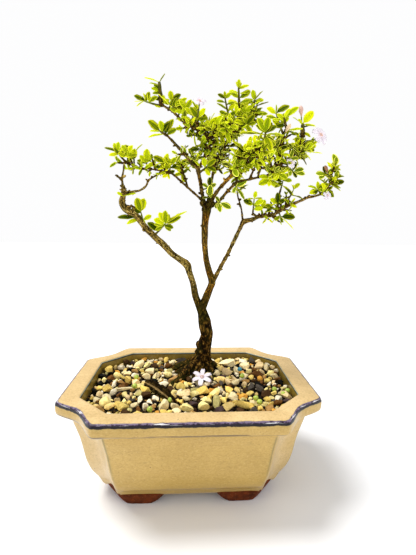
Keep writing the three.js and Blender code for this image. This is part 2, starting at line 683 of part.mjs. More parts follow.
// Each spray: [name, limb, station it grows at, tone, shoots]. The first shoot leaves the limb,
// and the others leave the first shoot. A shoot is [start along the first shoot, [direction],
// length, pairs of leaves, leaf length].
const SPRAYS = [
  ['left_low', 'left', 9.6, 'bright', [[0, [-2, -1.6, 0.8], 3.5, 1, 13]]],
  ['left_mid', 'left', 9, 'bright', [[0, [-0.6, 0.5, 3], 17, 3, 9.5], [0.5, [-1.5, -0.5, 1], 6, 2, 9]]],
  ['left_inner', 'left', 8.2, 'bright',
    [[0, [1, -0.8, 2], 12, 3, 12], [0.45, [2.4, -0.4, 0.6], 11, 2, 12.5], [0.8, [2.5, 0, 1], 6, 1, 14]]],
  ['crown_left_tip', 'crownLeft', 7, 'bright',
    [[0, [-3, 0, 2.2], 11, 3, 11], [0.3, [-1, -1, 2.4], 9, 2, 10], [0.15, [1, -1, 1.5], 7, 2, 9]]],
  ['crown_left_near', 'crownLeft', 6, 'bright', [[0, [0.6, -1.2, 2.4], 8, 3, 9]]],
  ['crown_left_mid', 'crownLeft', 4.7, 'bright', [[0, [-0.4, -1.4, 2.2], 9, 3, 10.5]]],
  ['crown_left_fork', 'crownLeftFork', 2, 'bright', [[0, [-2, -0.5, 0.6], 8, 3, 11]]],
  ['forward_tip', 'crownForward', 3, 'bright',
    [[0, [-1, -1, 2.4], 11, 3, 12], [0.3, [1.4, -1.2, 1], 8, 2, 13]]],
  ['forward_low', 'crownForward', 0.5, 'bright', [[0, [1.2, -1.4, 0.8], 6, 2, 8]]],
  ['reach_top', 'crownReach', 6, 'bright', [[0, [-0.5, 0.2, 2.4], 12, 3, 9.5]]],
  ['reach_side', 'crownReach', 5.7, 'bright', [[0, [-2.6, -1, 0.3], 14, 3, 10.5]]],
  ['reach_front', 'crownReach', 5, 'bright',
    [[0, [0.8, -1.6, 0.6], 6, 2, 14], [0.4, [-0.6, -0.8, -1.4], 6, 2, 10]]],
  ['bloom_leaves', 'crownReach', 3, 'bright', [[0, [-0.8, -1, 2.2], 10, 3, 11]]],
  ['rise_top', 'crownRise', 4, 'bright', [[0, [-0.5, 0, 2.4], 9, 3, 11]]],
  ['rise_left', 'crownRise', 2, 'bright', [[0, [-2, -0.8, 0.8], 9, 3, 10]]],
  ['stem_leaf', 'crownStem', 1, 'deep', [[0, [-0.8, -2, 1.4], 5, 1, 10]]],
  ['fork_leaves', 'crownStem', 2.6, 'bright', [[0, [1.6, -1.4, 1], 8, 3, 9]]],
  ['burst_leaf', 'middle', 9, 'deep', [[0, [2, -1.4, -0.6], 7, 2, 9]]],
  ['inner_top', 'crownInner', 3, 'bright', [[0, [0.8, -0.6, 2.2], 9, 3, 10]]],
  ['inner_mid', 'crownInner', 1, 'bright', [[0, [0.4, -1.2, 2], 8, 2, 13]]],
  ['twin_top', 'backTwin', 1, 'deep', [[0, [-0.7, 0, 2.6], 21, 4, 7]]],
  ['top', 'back', 7, 'bright', [[0, [0, -0.2, 2], 16, 4, 9.5], [0.3, [-1.2, 0.4, 1.6], 9, 2, 8]]],
  ['top_right', 'backRight', 2, 'bright', [[0, [0.2, 0.2, 2], 9, 3, 11], [0.3, [2, -0.4, 1], 8, 2, 10]]],
  ['front_tip', 'front', 6, 'bright',
    [[0, [0.2, -0.8, 2.4], 18, 4, 14], [0.4, [-1.6, -1.2, 0.9], 8, 2, 13],
      [0.5, [1.6, -1.4, 0], 8, 1, 14]]],
  ['front_mid', 'front', 4, 'bright', [[0, [0.4, -1.2, 1.6], 8, 3, 12]]],
  ['front_low', 'front', 2.7, 'deep', [[0, [-0.8, -1.6, 0.6], 7, 2, 10]]],
  ['side_joint', 'side', 4, 'deep', [[0, [0.8, -1, -1.6], 5, 1, 12.5]]],
  ['side_inner', 'sideInner', 1, 'bright', [[0, [0.2, 0.4, 2], 8, 3, 10]]],
  ['side_upper', 'sideUpper', 1, 'bright', [[0, [0.8, -0.8, 1.6], 8, 3, 10.5]]],
  ['side_under', 'side', 7, 'bright', [[0, [0.4, -1, -1.4], 9, 3, 10]]],
  ['side_mid', 'side', 9.2, 'deep',
    [[0, [0.6, -1.6, -0.2], 9, 3, 10.5], [0.4, [-1.2, -1, 1], 8, 2, 10]]],
  ['side_out', 'side', 10.6, 'bright', [[0, [2.4, -0.8, 0.2], 9, 3, 12]]],
  ['side_top', 'side', 11.4, 'bright',
    [[0, [-0.8, -0.6, 1.2], 7, 2, 11], [0.4, [1.6, 0.4, 1.4], 8, 2, 11.5]]],
  ['tall_top', 'sideTall', 3, 'bright', [[0, [0.4, -0.3, 1.8], 7, 3, 14]]],
  ['tall_low', 'sideTall', 1.4, 'deep', [[0, [-1, -1.6, 0.8], 8, 3, 10.5]]],
  ['right_inner', 'rightInner', 2, 'bright', [[0, [-0.4, -0.4, 2], 7, 2, 10]]],
  ['right_mid', 'rightMid', 2, 'bright', [[0, [0.6, 0.2, 2], 8, 3, 10.5]]],
  ['right_low', 'rightLow', 1, 'deep', [[0, [-0.4, -0.8, 1], 7, 3, 9], [0.3, [2, -1, 0.4], 8, 2, 9]]],
  ['right_out', 'rightOuter', 1, 'bright', [[0, [0.6, -0.8, 1.6], 7, 2, 10]]],
  ['right_under', 'right', 12, 'deep', [[0, [0.8, -1.4, -1], 7, 2, 12]]],
  ['right_near', 'right', 16.6, 'bright', [[0, [-1.2, -0.6, 1.4], 8, 3, 9.5]]],
  ['right_tip', 'right', 20, 'bright',
    [[0, [0.8, 0, 1.4], 7, 2, 10.5], [0.3, [1.6, -0.6, -0.4], 6, 2, 9], [0.2, [-1.6, 0, 0.2], 6, 2, 9]]],
  ['rear_left', 'rearLeft', 3, 'deep', [[0, [-0.2, 1, 1.6], 7, 2, 10]]],
  ['rear_mid', 'rearMid', 2, 'deep', [[0, [0, 1, 1.6], 8, 2, 12.5]]],
  ['rear_right', 'rearRight', 3, 'deep', [[0, [0.6, 1, 1.4], 8, 2, 12.5]]],
];

// ---------------------------------------------------------------- keeping nodes apart

const placed = [];

function boxOf(solid) {
  const { min, max } = solid.boundingBox();
  return new THREE.Box3(new THREE.Vector3(...min), new THREE.Vector3(...max));
}

function record(node, solid) {
  placed.push({ node, solid, box: boxOf(solid) });
}

function isClear(node, solid) {
  const box = boxOf(solid);
  return placed.every((other) => other.node === node || !box.intersectsBox(other.box)
    || solid.intersect(other.solid).isEmpty());
}

// The first place along a direction out of a limb where what grows there clears the bark.
const BACK_STEP = 0.15;

function rootOnLimb(limbName, station, direction, isFree) {
  const stations = LIMBS[limbName];
  const share = station / (stations.length - 1);
  const limb = smoothLine(stations).getPoint(share);
  const way = new THREE.Vector3(...direction).normalize();
  let back = station === stations.length - 1 ? 0 : radiusAt(stations, share) * 0.6;
  while (!isFree(limb.clone().addScaledVector(way, back)) && back < 8) {
    back += BACK_STEP;
  }
  return limb.clone().addScaledVector(way, back + GAP);
}

function growStems([name, limb, station, tone, shoots], index) {
  const node = `spray_${name}`;
  const draw = seededDraws(100 + index);
  const stems = [];
  shoots.forEach(([start, direction, length, pairs, leafLength], i) => {
    const turn = draw() * Math.PI;
    const grow = (from) => makeStem(from, direction, length, turn);
    const isFree = (from) => isClear(node, leafyShoot(grow(from), 1, []));
    const from = i === 0 ? rootOnLimb(limb, station, direction, isFree) : stems[0].curve.getPoint(start);
    if (i === 0 || isFree(from)) {
      stems.push({ ...grow(from), pairs, leafLength });
    }
  });
  stems.forEach((stem, i) => record(`${node}/${i}`, leafyShoot(stem, 1, [])));
  return { node, tone, stems, draw };
}

// A leaf that would touch another node swings aside until it is clear, or isn't grown.
// A swing is [turn round the twig, spread from the twig], in radians.
const SWINGS = [
  [0, 0], [0.4, 0], [-0.4, 0], [0, 0.35], [0, -0.35],
  [0.5, 0.3], [-0.5, 0.3], [0.5, -0.3], [-0.5, -0.3],
];

function growLeaves(spray) {
  const shoots = spray.stems.map((stem, i) => {
    const shoot = `${spray.node}/${i}`;
    const grown = [];
    shootLeaves(stem, stem.pairs, stem.leafLength, spray.draw).forEach((leaf) => {
      const place = SWINGS.map((swing) => leafPlacement(stem, leaf, swing))
        .find((matrix) => isClear(shoot, toSolid(looseBlade(leaf, GAP / 2).applyMatrix4(matrix))));
      if (place) {
        record(shoot, toSolid(looseBlade(leaf).applyMatrix4(place)));
        const { upper, lower } = bladePoints(leaf);
        [...upper, ...lower].forEach((point) => point.applyMatrix4(place));
        grown.push({ ...leaf, points: { upper, lower } });
      }
    });
    return leafyShoot(stem, stem.pairs, grown);
  });
  return joined(shoots);
}

// ---------------------------------------------------------------- flowers and buds

const PETAL_COUNT = 5;
const STALK_RADIUS = 0.6;

// Half of one petal's edge, from the notch beside it to its tip: [share of the radius, degrees
// off the petal's own line].
const PETAL_EDGE = [[0.24, 36], [0.66, 15], [0.98, 9]];

// A flower faces +Z from its own middle: one thin star of petals on the mouth of a short tube.
function flowerSolid(diameter) {
  const edge = [];
  for (let petal = 0; petal < PETAL_COUNT; petal += 1) {
    const axis = 360 * petal / PETAL_COUNT;
    PETAL_EDGE.forEach(([share, off]) => edge.push([share, axis - off]));
    [...PETAL_EDGE].reverse().slice(0, -1).forEach(([share, off]) => edge.push([share, axis + off]));
  }
  const ring = (drop) => edge.map(([share, degrees]) => {
    const angle = THREE.MathUtils.degToRad(degrees);
    const radius = share * diameter / 2;
    const height = diameter * (0.1 * share - 0.14 * share ** 3) - drop;
    return new THREE.Vector3(radius * Math.cos(angle), radius * Math.sin(angle), height);
  });
  const rings = [ring(LEAF_THICKNESS), ring(0)];
  const star = toSolid(loft(rings, outlineCap(rings[1]), outlineCap(rings[1])));
  const tubeLength = 0.36 * diameter;
  const tube = new THREE.LatheGeometry([
    new THREE.Vector2(0, -tubeLength), new THREE.Vector2(STALK_RADIUS, -tubeLength),
    new THREE.Vector2(0.09 * diameter, 0.06 * diameter), new THREE.Vector2(0, 0.09 * diameter),
  ], 5);
  return star.add(toSolid(tube.rotateX(Math.PI / 2)));
}

function budSolid(length) {
  const radius = 0.21 * length;
  const bud = new THREE.LatheGeometry([
    new THREE.Vector2(0, 0),
    new THREE.Vector2(STALK_RADIUS, 0),
    new THREE.Vector2(0.6 * radius, 0.3 * length),
    new THREE.Vector2(radius, 0.65 * length),
    new THREE.Vector2(0.7 * radius, 0.9 * length),
    new THREE.Vector2(0, length),
  ], 5);
  return toSolid(bud.rotateX(Math.PI / 2));
}

// [name, kind, limb, station, [stalk direction], stalk length, [facing], size].
const BLOOMS = [
  ['flower_crown', 'flower', 'crownBloomTwig', 1, [0.1, -0.3, 1.2], 10.5, [0.1, -1, 0.9], 9],
  ['flower_side', 'flower', 'side', 11.3, [2.2, -0.6, 0.5], 8.5, [0.5, -1, 0.5], 13],
  ['flower_front', 'flower', 'side', 8.4, [1, -1.4, -0.5], 5, [0.5, -1, 0.4], 8.5],
  ['flower_outer', 'flower', 'right', 16.4, [1, -1.2, -0.9], 3, [0.3, -1, 0.2], 7.5],
  ['bud_top', 'bud', 'side', 12, [-0.12, 0, 1], 13.5, [-0.1, 0, 1], 8.5],
  ['bud_mid', 'bud', 'sideTall', 2.4, [0.1, -1, 0.2], 2.5, [0.6, -0.2, 1], 7.5],
  ['bud_outer', 'bud', 'right', 18.4, [-0.4, -0.4, 1], 7, [-0.5, 0, 1], 6.5],
];

function bloomPiece([name, kind, limb, station, direction, stalkLength, facing, size]) {
  const look = new THREE.Vector3(...facing).normalize();
  const turn = new THREE.Quaternion().setFromUnitVectors(new THREE.Vector3(0, 0, 1), look);
  const head = kind === 'flower' ? flowerSolid(size) : budSolid(size);
  const set = kind === 'flower' ? 0.3 * size : -0.4;
  const grow = (from) => {
    const end = from.clone().addScaledVector(new THREE.Vector3(...direction).normalize(), stalkLength);
    const neck = end.clone().addScaledVector(look, 0.8);
    const stalk = taperedTube([from, end, neck].map((p) => [p.x, p.y, p.z, STALK_RADIUS]), 4, 3);
    const place = new THREE.Matrix4().makeRotationFromQuaternion(turn);
    place.setPosition(end.clone().addScaledVector(look, set));
    return joined([stalk, head.transform(place.elements)]);
  };
  const root = rootOnLimb(limb, station, direction, (from) => isClear(name, grow(from)));
  return grow(root);
}

// What lies loose on the gravel sinks straight down until it meets the stones or a root.
function settled(name, solid) {
  let lying = solid;
  let next = solid.translate([0, 0, -GAP]);
  while (isClear(name, next)) {
    lying = next;
    next = next.translate([0, 0, -GAP]);
  }
  return lying;
}

function fallenFlower() {
  const tilt = new THREE.Matrix4().makeRotationX(0.35);
  tilt.premultiply(new THREE.Matrix4().makeTranslation(8.7, 6.6, POT_HEIGHT + 8));
  return settled('flower_fallen', flowerSolid(15.5).transform(tilt.elements));
}

// A curl of old bark, pressed into the gravel beside the left end of the roots.
function barkStrip(grow = 0) {
  return taperedTube([[-33, 4, 67.8, 1.8], [-23, -12, 68.8, 3], [-12, -27, 68, 1.6]], 5, 3, grow);
}

// ---------------------------------------------------------------- the whole

const tree = new THREE.Group();

function addMesh(name, solid, finish) {
  const mesh = new THREE.Mesh(toGeometry(solid), new THREE.MeshStandardMaterial(finish));
  mesh.name = name;
  tree.add(mesh);
}

addMesh('pot', potPiece(), GLAZE);
addMesh('drainage_mesh_left', drainageMesh(-DRAIN_SPACING / 2), MESH_PLASTIC);
addMesh('drainage_mesh_right', drainageMesh(DRAIN_SPACING / 2), MESH_PLASTIC);

const woodGrown = woodSolids(GAP);
addMesh('soil', soilPiece(woodGrown), SOIL);
const gravel = gravelPiece([...woodGrown, barkStrip(GAP)]);
record('gravel', gravel);
addMesh('gravel', gravel, STONES);
addMesh('bark_strip', barkStrip(), OLD_BARK);

const wood = woodSolids();
wood.forEach((solid) => record('trunk', solid));
addMesh('trunk', joined(wood), BARK);

addMesh('flower_fallen', fallenFlower(), PETAL);
BLOOMS.forEach((bloom) => {
  const solid = bloomPiece(bloom);
  record(bloom[0], solid);
  addMesh(bloom[0], solid, bloom[1] === 'flower' ? PETAL : PINK_BUD);
});

SPRAYS.map(growStems).forEach((spray) => {
  addMesh(spray.node, growLeaves(spray), spray.tone === 'bright' ? BRIGHT_LEAF : DEEP_LEAF);
});

const bounds = new THREE.Box3().setFromObject(tree);
const middle = bounds.getCenter(new THREE.Vector3());
tree.position.set(-middle.x, -middle.y, -bounds.min.z);

export default tree;
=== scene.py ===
# %% [markdown]
# # A serissa bonsai in its glazed pot
#
# Serissa is a flowering shrub with tiny leaves, kept in a shallow pot and pruned into the likeness
# of an old tree. This lesson loads a plain faceted model of one such tree and gives it the surfaces
# of the real thing: glaze, gravel, bark, leaves and petals.

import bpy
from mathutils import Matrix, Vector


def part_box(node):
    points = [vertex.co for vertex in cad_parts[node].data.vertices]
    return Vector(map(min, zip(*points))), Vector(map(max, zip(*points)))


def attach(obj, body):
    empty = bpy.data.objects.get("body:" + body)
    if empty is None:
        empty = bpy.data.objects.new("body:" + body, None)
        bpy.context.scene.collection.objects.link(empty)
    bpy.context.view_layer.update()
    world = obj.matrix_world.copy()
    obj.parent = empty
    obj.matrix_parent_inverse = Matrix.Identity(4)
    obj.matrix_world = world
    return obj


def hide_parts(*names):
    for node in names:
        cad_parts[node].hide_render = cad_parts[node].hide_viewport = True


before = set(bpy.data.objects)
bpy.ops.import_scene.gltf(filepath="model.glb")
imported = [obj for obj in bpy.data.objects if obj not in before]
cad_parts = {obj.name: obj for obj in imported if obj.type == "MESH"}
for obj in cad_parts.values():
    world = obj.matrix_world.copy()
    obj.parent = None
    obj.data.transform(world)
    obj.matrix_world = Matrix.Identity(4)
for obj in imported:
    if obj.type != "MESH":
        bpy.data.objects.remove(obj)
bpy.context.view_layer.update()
print("the solid model has", len(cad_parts), "nodes")

# %% [markdown]
# ## Units and a common origin
#
# Lengths stay in millimetres until a mesh is made, and Blender's own metres appear only there.
# Places are counted from the middle of the pot's base. The solid model is centred on the whole
# tree instead, so the pot's box gives the shift.

# %% Units and the pot's middle
import math

import bmesh
import bpy
import numpy as np
from mathutils import Matrix, Vector, geometry, kdtree, noise

MM = 0.001
pot_low, pot_high = (np.array(corner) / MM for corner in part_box("pot"))
POT_MIDDLE = (pot_low + pot_high) / 2 * [1, 1, 0]
print("the pot is", (pot_high - pot_low).round(1), "mm, and its middle is at", POT_MIDDLE.round(1))

# %% [markdown]
# ## The viewpoint
#
# The tree is looked at from about 20 cm in front of the pot, well above its rim, with a short lens
# that makes the rim spread wide. Rotation angles would do, but writing the camera's axes out as
# vectors shows what each angle does: yaw turns, pitch looks down, roll tilts the horizon.

# %% Camera
EYE = np.array([-1.9, -276.8, 188.4])
YAW, PITCH, ROLL = np.radians([3.07, 7.62, 0.56])
FOCAL_PIXELS = 372
PICTURE_HEIGHT = 555
SENSOR = 36

ahead = np.array([math.sin(YAW) * math.cos(PITCH), math.cos(YAW) * math.cos(PITCH), -math.sin(PITCH)])
level_right = np.cross(ahead, [0, 0, 1])
level_right /= np.linalg.norm(level_right)
level_up = np.cross(level_right, ahead)
tilted_right = level_right * math.cos(ROLL) + level_up * math.sin(ROLL)
tilted_up = level_up * math.cos(ROLL) - level_right * math.sin(ROLL)

camera = bpy.data.objects.new("camera", bpy.data.cameras.new("camera"))
bpy.context.scene.collection.objects.link(camera)
camera.data.sensor_width = SENSOR
camera.data.lens = FOCAL_PIXELS / PICTURE_HEIGHT * SENSOR
camera.data.clip_start = 0.01
facing = Matrix([*zip(tilted_right, tilted_up, -ahead)]).to_4x4()
camera.matrix_world = Matrix.Translation((EYE + POT_MIDDLE) * MM) @ facing
bpy.context.scene.camera = camera
print("lens", round(camera.data.lens, 2), "mm")

# %% [markdown]
# ## Studio light
#
# The tree stands in bright, even daylight on a white table. One very soft sun from above, behind
# the tree's left shoulder, brightens the rim and the leaves. A pale sky and three weak lamps fill
# the rest. The camera sees the sky whiter than it shines, so that no line shows behind the table.

# %% Lights and table
SKY_STRENGTH = 0.6
SUN_STRENGTH = 3.0
FILL_POWER = 1.6
SIDE_POWER = 1.1
BACKDROP = (0.985, 0.985, 0.99, 1)

world = bpy.data.worlds.new("studio")
bpy.context.scene.world = world
world.use_nodes = True
sky = world.node_tree
shine = sky.nodes["Background"]
shine.inputs["Color"].default_value = (0.95, 0.97, 1, 1)
shine.inputs["Strength"].default_value = SKY_STRENGTH
shown = sky.nodes.new("ShaderNodeBackground")
shown.inputs["Color"].default_value = BACKDROP
path = sky.nodes.new("ShaderNodeLightPath")
choose = sky.nodes.new("ShaderNodeMixShader")
sky.links.new(path.outputs["Is Camera Ray"], choose.inputs["Fac"])
sky.links.new(shine.outputs["Background"], choose.inputs[1])
sky.links.new(shown.outputs["Background"], choose.inputs[2])
sky.links.new(choose.outputs["Shader"], sky.nodes["World Output"].inputs["Surface"])


def add_light(name, kind, place, target, energy, size):
    """A soft light at a place in metres, aimed at a target."""
    light = bpy.data.objects.new(name, bpy.data.lights.new(name, kind))
    bpy.context.scene.collection.objects.link(light)
    light.location = place
    light.rotation_euler = (Vector(target) - Vector(place)).to_track_quat("-Z", "Y").to_euler()
    light.data.energy = energy
    if kind == "SUN":
        light.data.angle = size
    else:
        light.data.size = size


add_light("soft_sun", "SUN", (-0.5, 0.15, 1.2), (0, 0, 0.1), SUN_STRENGTH, math.radians(25))
add_light("front_fill", "AREA", (0.1, -0.9, 0.45), (0, 0, 0.1), FILL_POWER, 0.8)
add_light("left_fill", "AREA", (-0.7, -0.25, 0.2), (0, 0, 0.06), SIDE_POWER, 0.5)
add_light("right_fill", "AREA", (0.7, -0.25, 0.2), (0, 0, 0.06), SIDE_POWER, 0.5)
bpy.context.scene.view_settings.view_transform = "Standard"

table_mesh = bpy.data.meshes.new("table_top")
table_mesh.from_pydata([(x, y, 0) for x, y in ((-4, -4), (4, -4), (4, 4), (-4, 4))], [], [(0, 1, 2, 3)])
table_top = bpy.data.objects.new("table_top", table_mesh)
bpy.context.scene.collection.objects.link(table_top)

# %% [markdown]
# ## A workshop for meshes
#
# Most pieces here are heaps of small bodies: hundreds of stones, thousands of leaves. An object for
# each would be slow, so a heap gathers points and faces in plain lists and becomes one mesh at the
# end. Each point can carry marks, such as how far along a leaf it lies, which the materials read
# later through Attribute nodes.

# %% The heap
class Heap:
    """Gathers many small bodies, in millimetres, into one piece."""

    def __init__(self):
        self.points, self.faces, self.finishes, self.marks = [], [], [], {}
        self.count = 0

    def add(self, points, faces, finish=0, **marks):
        """Adds a body; a mark is one number for all its points, or a number or vector for each."""
        self.points.append(points)
        faces = faces.tolist() if isinstance(faces, np.ndarray) else faces
        self.faces += [[i + self.count for i in face] for face in faces]
        self.finishes += [finish] * len(faces)
        for name, value in marks.items():
            value = np.full(len(points), value) if np.ndim(value) == 0 else value
            self.marks.setdefault(name, []).append((self.count, value))
        self.count += len(points)

    def make(self, name, materials, slot, stands_for=(), sharp=None):
        """Makes the piece in metres; sharp is the angle from which edges stay crisp."""
        mesh = bpy.data.meshes.new(name)
        points = (np.concatenate(self.points) + POT_MIDDLE) * MM
        mesh.from_pydata(points.tolist(), [], self.faces)
        for material in materials:
            mesh.materials.append(material)
        mesh.polygons.foreach_set("material_index", self.finishes)
        mesh.shade_smooth()
        if sharp is not None:
            mesh.set_sharp_from_angle(angle=math.radians(sharp))
        for mark, parts in self.marks.items():
            width = np.shape(parts[0][1])[1] if np.ndim(parts[0][1]) > 1 else 1
            values = np.zeros((self.count, width))
            for start, part in parts:
                values[start:start + len(part)] = np.reshape(part, (len(part), width))
            kind, field = ("FLOAT_VECTOR", "vector") if width == 3 else ("FLOAT", "value")
            mesh.attributes.new(mark, kind, "POINT").data.foreach_set(field, values.ravel())
        mesh.update()
        piece = bpy.data.objects.new(name, mesh)
        bpy.context.scene.collection.objects.link(piece)
        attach(piece, "root")
        if stands_for:
            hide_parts(*stands_for)
        print(f"{name}: {sum(len(face) - 2 for face in self.faces)} triangles")
        return piece


# %% [markdown]
# ## Repeatable chance
#
# Plants are irregular, yet the lesson has to give the same tree every time. The draws below are the
# fractions of a fast sine wave, the rule that placed the leaves of the solid model, so the same
# seed gives the same shoot in both.

# %% Seeded draws
def draws_from(seed):
    """A function that gives the next of a repeatable stream of numbers between 0 and 1."""
    count = 0

    def draw():
        nonlocal count
        count += 1
        wave = math.sin(seed * 127.1 + count * 12.9898 + 78.233) * 43758.5453
        return wave - math.floor(wave)

    return draw


first = draws_from(100)
print("the first draws of seed 100:", [round(first(), 3) for _ in range(3)])

# %% [markdown]
# ## Smooth lines, tubes and thin sheets
#
# Three shapes build nearly everything that grows. A smooth line passes through a few stations and
# carries a radius with it. A tube is a ring swept along such a line, carried forward from step to
# step so that it never twists suddenly. A thin sheet is a grid with an upper and a lower face that
# share their rim, which suits leaves and petals.

# %% Lines
GOLDEN_ANGLE = 2.39996


def unit(vector):
    vector = np.asarray(vector, float)
    return vector / np.linalg.norm(vector)


def progress(value, start, end):
    """How far a value has come on its way from start to end, 0 to 1."""
    return np.clip((value - start) / (end - start), 0, 1)


def spun(vector, axis, angle):
    """A vector turned about an axis."""
    return (vector * math.cos(angle) + np.cross(axis, vector) * math.sin(angle)
            + axis * (axis @ vector) * (1 - math.cos(angle)))


def with_ends(stations):
    """The stations with one more at each end, so that the line bends evenly through them all."""
    p = np.array(stations, float)
    return np.vstack([2 * p[0] - p[1], p, 2 * p[-1] - p[-2]])


def bend(a, b, c, d, t):
    """A share t of the way from b to c on a smooth line through four stations."""
    return b + 0.5 * ((c - a) * t + (2 * a - 5 * b + 4 * c - d) * t**2 + (3 * b - a - 3 * c + d) * t**3)


def smooth_line(stations, step):
    """Rows of x, y, z, radius on a smooth line through the stations, about a step apart."""
    p = with_ends(stations)
    rows = []
    for four in zip(p, p[1:], p[2:], p[3:]):
        count = max(2, round(np.linalg.norm(four[2][:3] - four[1][:3]) / step))
        rows += [bend(*four, t) for t in np.arange(count) / count]
    return np.array(rows + [p[-2]])


def point_on(stations, place):
    """The point, direction and radius at a place counted in stations."""
    index = min(int(place), len(stations) - 2)
    four = with_ends(stations)[index:index + 4]
    t = place - index
    before, here, after = (bend(*four, at) for at in (max(t - 0.01, 0), t, min(t + 0.01, 1)))
    return here[:3], unit(after[:3] - before[:3]), here[3]


def distance_along(points):
    """How far each point of a line lies from its start, along the line."""
    return np.concatenate([[0], np.cumsum(np.linalg.norm(np.diff(points, axis=0), axis=1))])


# %% Tubes
def ring_axes(points):
    """Two axes across a line at each of its points, carried forward without twist."""
    along = np.gradient(points, axis=0)
    along /= np.linalg.norm(along, axis=1)[:, None]
    side = unit(np.cross(along[0], [0.31, 0.93, 0.2]))
    first_axes, second_axes = [], []
    for direction in along:
        side = unit(side - direction * (side @ direction))
        first_axes.append(side)
        second_axes.append(np.cross(direction, side))
    return along, np.array(first_axes), np.array(second_axes)


def tube(rows, sides):
    """Points and faces of a closed bar along rows of x, y, z, radius, and its grain marks."""
    rows = np.asarray(rows, float)
    _, first_axes, second_axes = ring_axes(rows[:, :3])
    angle = 2 * np.pi * np.arange(sides) / sides
    spoke = (np.cos(angle)[None, :, None] * first_axes[:, None]
             + np.sin(angle)[None, :, None] * second_axes[:, None])
    points = (rows[:, None, :3] + spoke * rows[:, None, 3:]).reshape(-1, 3)
    faces = grid_faces(len(rows), sides, closed=True)
    count = len(points)
    ends = [list(range(sides))[::-1], list(range(count - sides, count))]
    grain = np.stack([
        np.tile(np.cos(angle), len(rows)), np.tile(np.sin(angle), len(rows)),
        np.repeat(distance_along(rows[:, :3]), sides)], axis=1)
    return points, [list(face) for face in faces] + ends, grain


def grid_faces(rows, columns, closed=False):
    """Quads of a grid of points stored row by row; a closed grid joins its last column to its first."""
    last = columns if closed else columns - 1
    return [
        (r * columns + c, r * columns + (c + 1) % columns,
         (r + 1) * columns + (c + 1) % columns, (r + 1) * columns + c)
        for r in range(rows - 1) for c in range(last)]


# %% Thin sheets
def sheet_faces(rows, columns):
    """Faces of a two-sided sheet: an upper grid, and a lower grid that shares the rim."""
    upper = grid_faces(rows, columns)
    lower_index = {}
    count = rows * columns
    for r in range(1, rows - 1):
        for c in range(1, columns - 1):
            lower_index[r * columns + c] = count
            count += 1
    lower = [tuple(lower_index.get(i, i) for i in reversed(face)) for face in upper]
    return upper + lower


def sheet_marks(values):
    """A mark for each point of a sheet from an array of rows, columns."""
    return np.concatenate([values.ravel(), values[1:-1, 1:-1].ravel()])


def add_sheet(heap, upper, thickness, faces, **marks):
    """Adds a sheet from its upper grid; thickness is the vector from its lower face to its upper."""
    lower = upper[1:-1, 1:-1] - thickness
    heap.add(np.concatenate([upper.reshape(-1, 3), lower.reshape(-1, 3)]), faces, **marks)


print("a two-sided sheet of 10 by 7 points has", len(sheet_faces(10, 7)), "faces")

# %% [markdown]
# ## A workshop for materials
#
# Materials are node trees, and the same few moves come up again and again: place a node, feed its
# sockets, mix two colours, sharpen a value. Small helpers keep those moves readable; they all work
# on the one tree that lies on the bench. An effect that several materials share is a node group
# with named inputs, made once and placed in each material with its own values.

# %% Node helpers
bench = None  # the node tree that is being built


def connect(sockets, feeds):
    """Feeds sockets with plain values or with the outputs of other nodes."""
    for key, value in feeds.items():
        if isinstance(value, bpy.types.NodeSocket):
            bench.links.new(value, sockets[key])
        else:
            sockets[key].default_value = value


def place_node(kind, feeds=None, **settings):
    """Adds a shader node to the tree on the bench, sets its properties and feeds its inputs."""
    made = bench.nodes.new("ShaderNode" + kind)
    for key, value in settings.items():
        setattr(made, key, value)
    connect(made.inputs, feeds or {})
    return made


def rgb(red, green, blue):
    return (red, green, blue, 1)


def mix(share, below, above, mode="MIX"):
    return place_node("Mix", {0: share, 6: below, 7: above}, data_type="RGBA", blend_type=mode).outputs[2]


def dimmed(colour, shade):
    """A colour made darker or lighter by a value."""
    tint = place_node("CombineXYZ", {"X": shade, "Y": shade, "Z": shade}).outputs[0]
    return mix(1.0, colour, tint, mode="MULTIPLY")


def parts_of(vector):
    return place_node("SeparateXYZ", {"Vector": vector}).outputs


def maths(operation, *values):
    return place_node("Math", dict(enumerate(values)), operation=operation).outputs[0]


def times(first, second):
    return maths("MULTIPLY", first, second)


def scaled(value, slope, offset):
    return maths("MULTIPLY_ADD", value, slope, offset)


def sharpen(value, low, high):
    """0 below low, 1 above high, and a soft step between them."""
    feeds = {"Value": value, "From Min": low, "From Max": high}
    return place_node("MapRange", feeds, interpolation_type="SMOOTHSTEP").outputs["Result"]


def mark(name, output="Fac"):
    return place_node("Attribute", attribute_name=name).outputs[output]


def object_place(stretch=(1, 1, 1)):
    """The place of a point on the object, in millimetres, stretched along each axis."""
    place = place_node("TexCoord").outputs["Object"]
    scale = [1000 * s for s in stretch]
    return place_node("Mapping", {"Vector": place, "Scale": scale}).outputs["Vector"]


def noise_at(vector, scale, detail=3, roughness=0.5):
    feeds = {"Vector": vector, "Scale": scale, "Detail": detail, "Roughness": roughness}
    return place_node("TexNoise", feeds).outputs["Fac"]


def cells_at(vector, scale, output="Distance", feature="F1"):
    feeds = {"Vector": vector, "Scale": scale}
    return place_node("TexVoronoi", feeds, feature=feature).outputs[output]


def ramp(value, stops, smooth=True):
    """A colour ramp through stops of place, red, green and blue."""
    node = place_node("ValToRGB", {"Fac": value})
    node.color_ramp.interpolation = "LINEAR" if smooth else "CONSTANT"
    elements = node.color_ramp.elements
    while len(elements) > 1:
        elements.remove(elements[-1])
    elements[0].position = stops[0][0]
    for place, *_ in stops[1:]:
        elements.new(place)
    for element, (_, *colour) in zip(elements, stops):
        element.color = (*colour, 1)
    return node.outputs["Color"]


def bump(height, distance, strength=1.0):
    feeds = {"Height": height, "Distance": distance * MM, "Strength": strength}
    return place_node("Bump", feeds).outputs["Normal"]


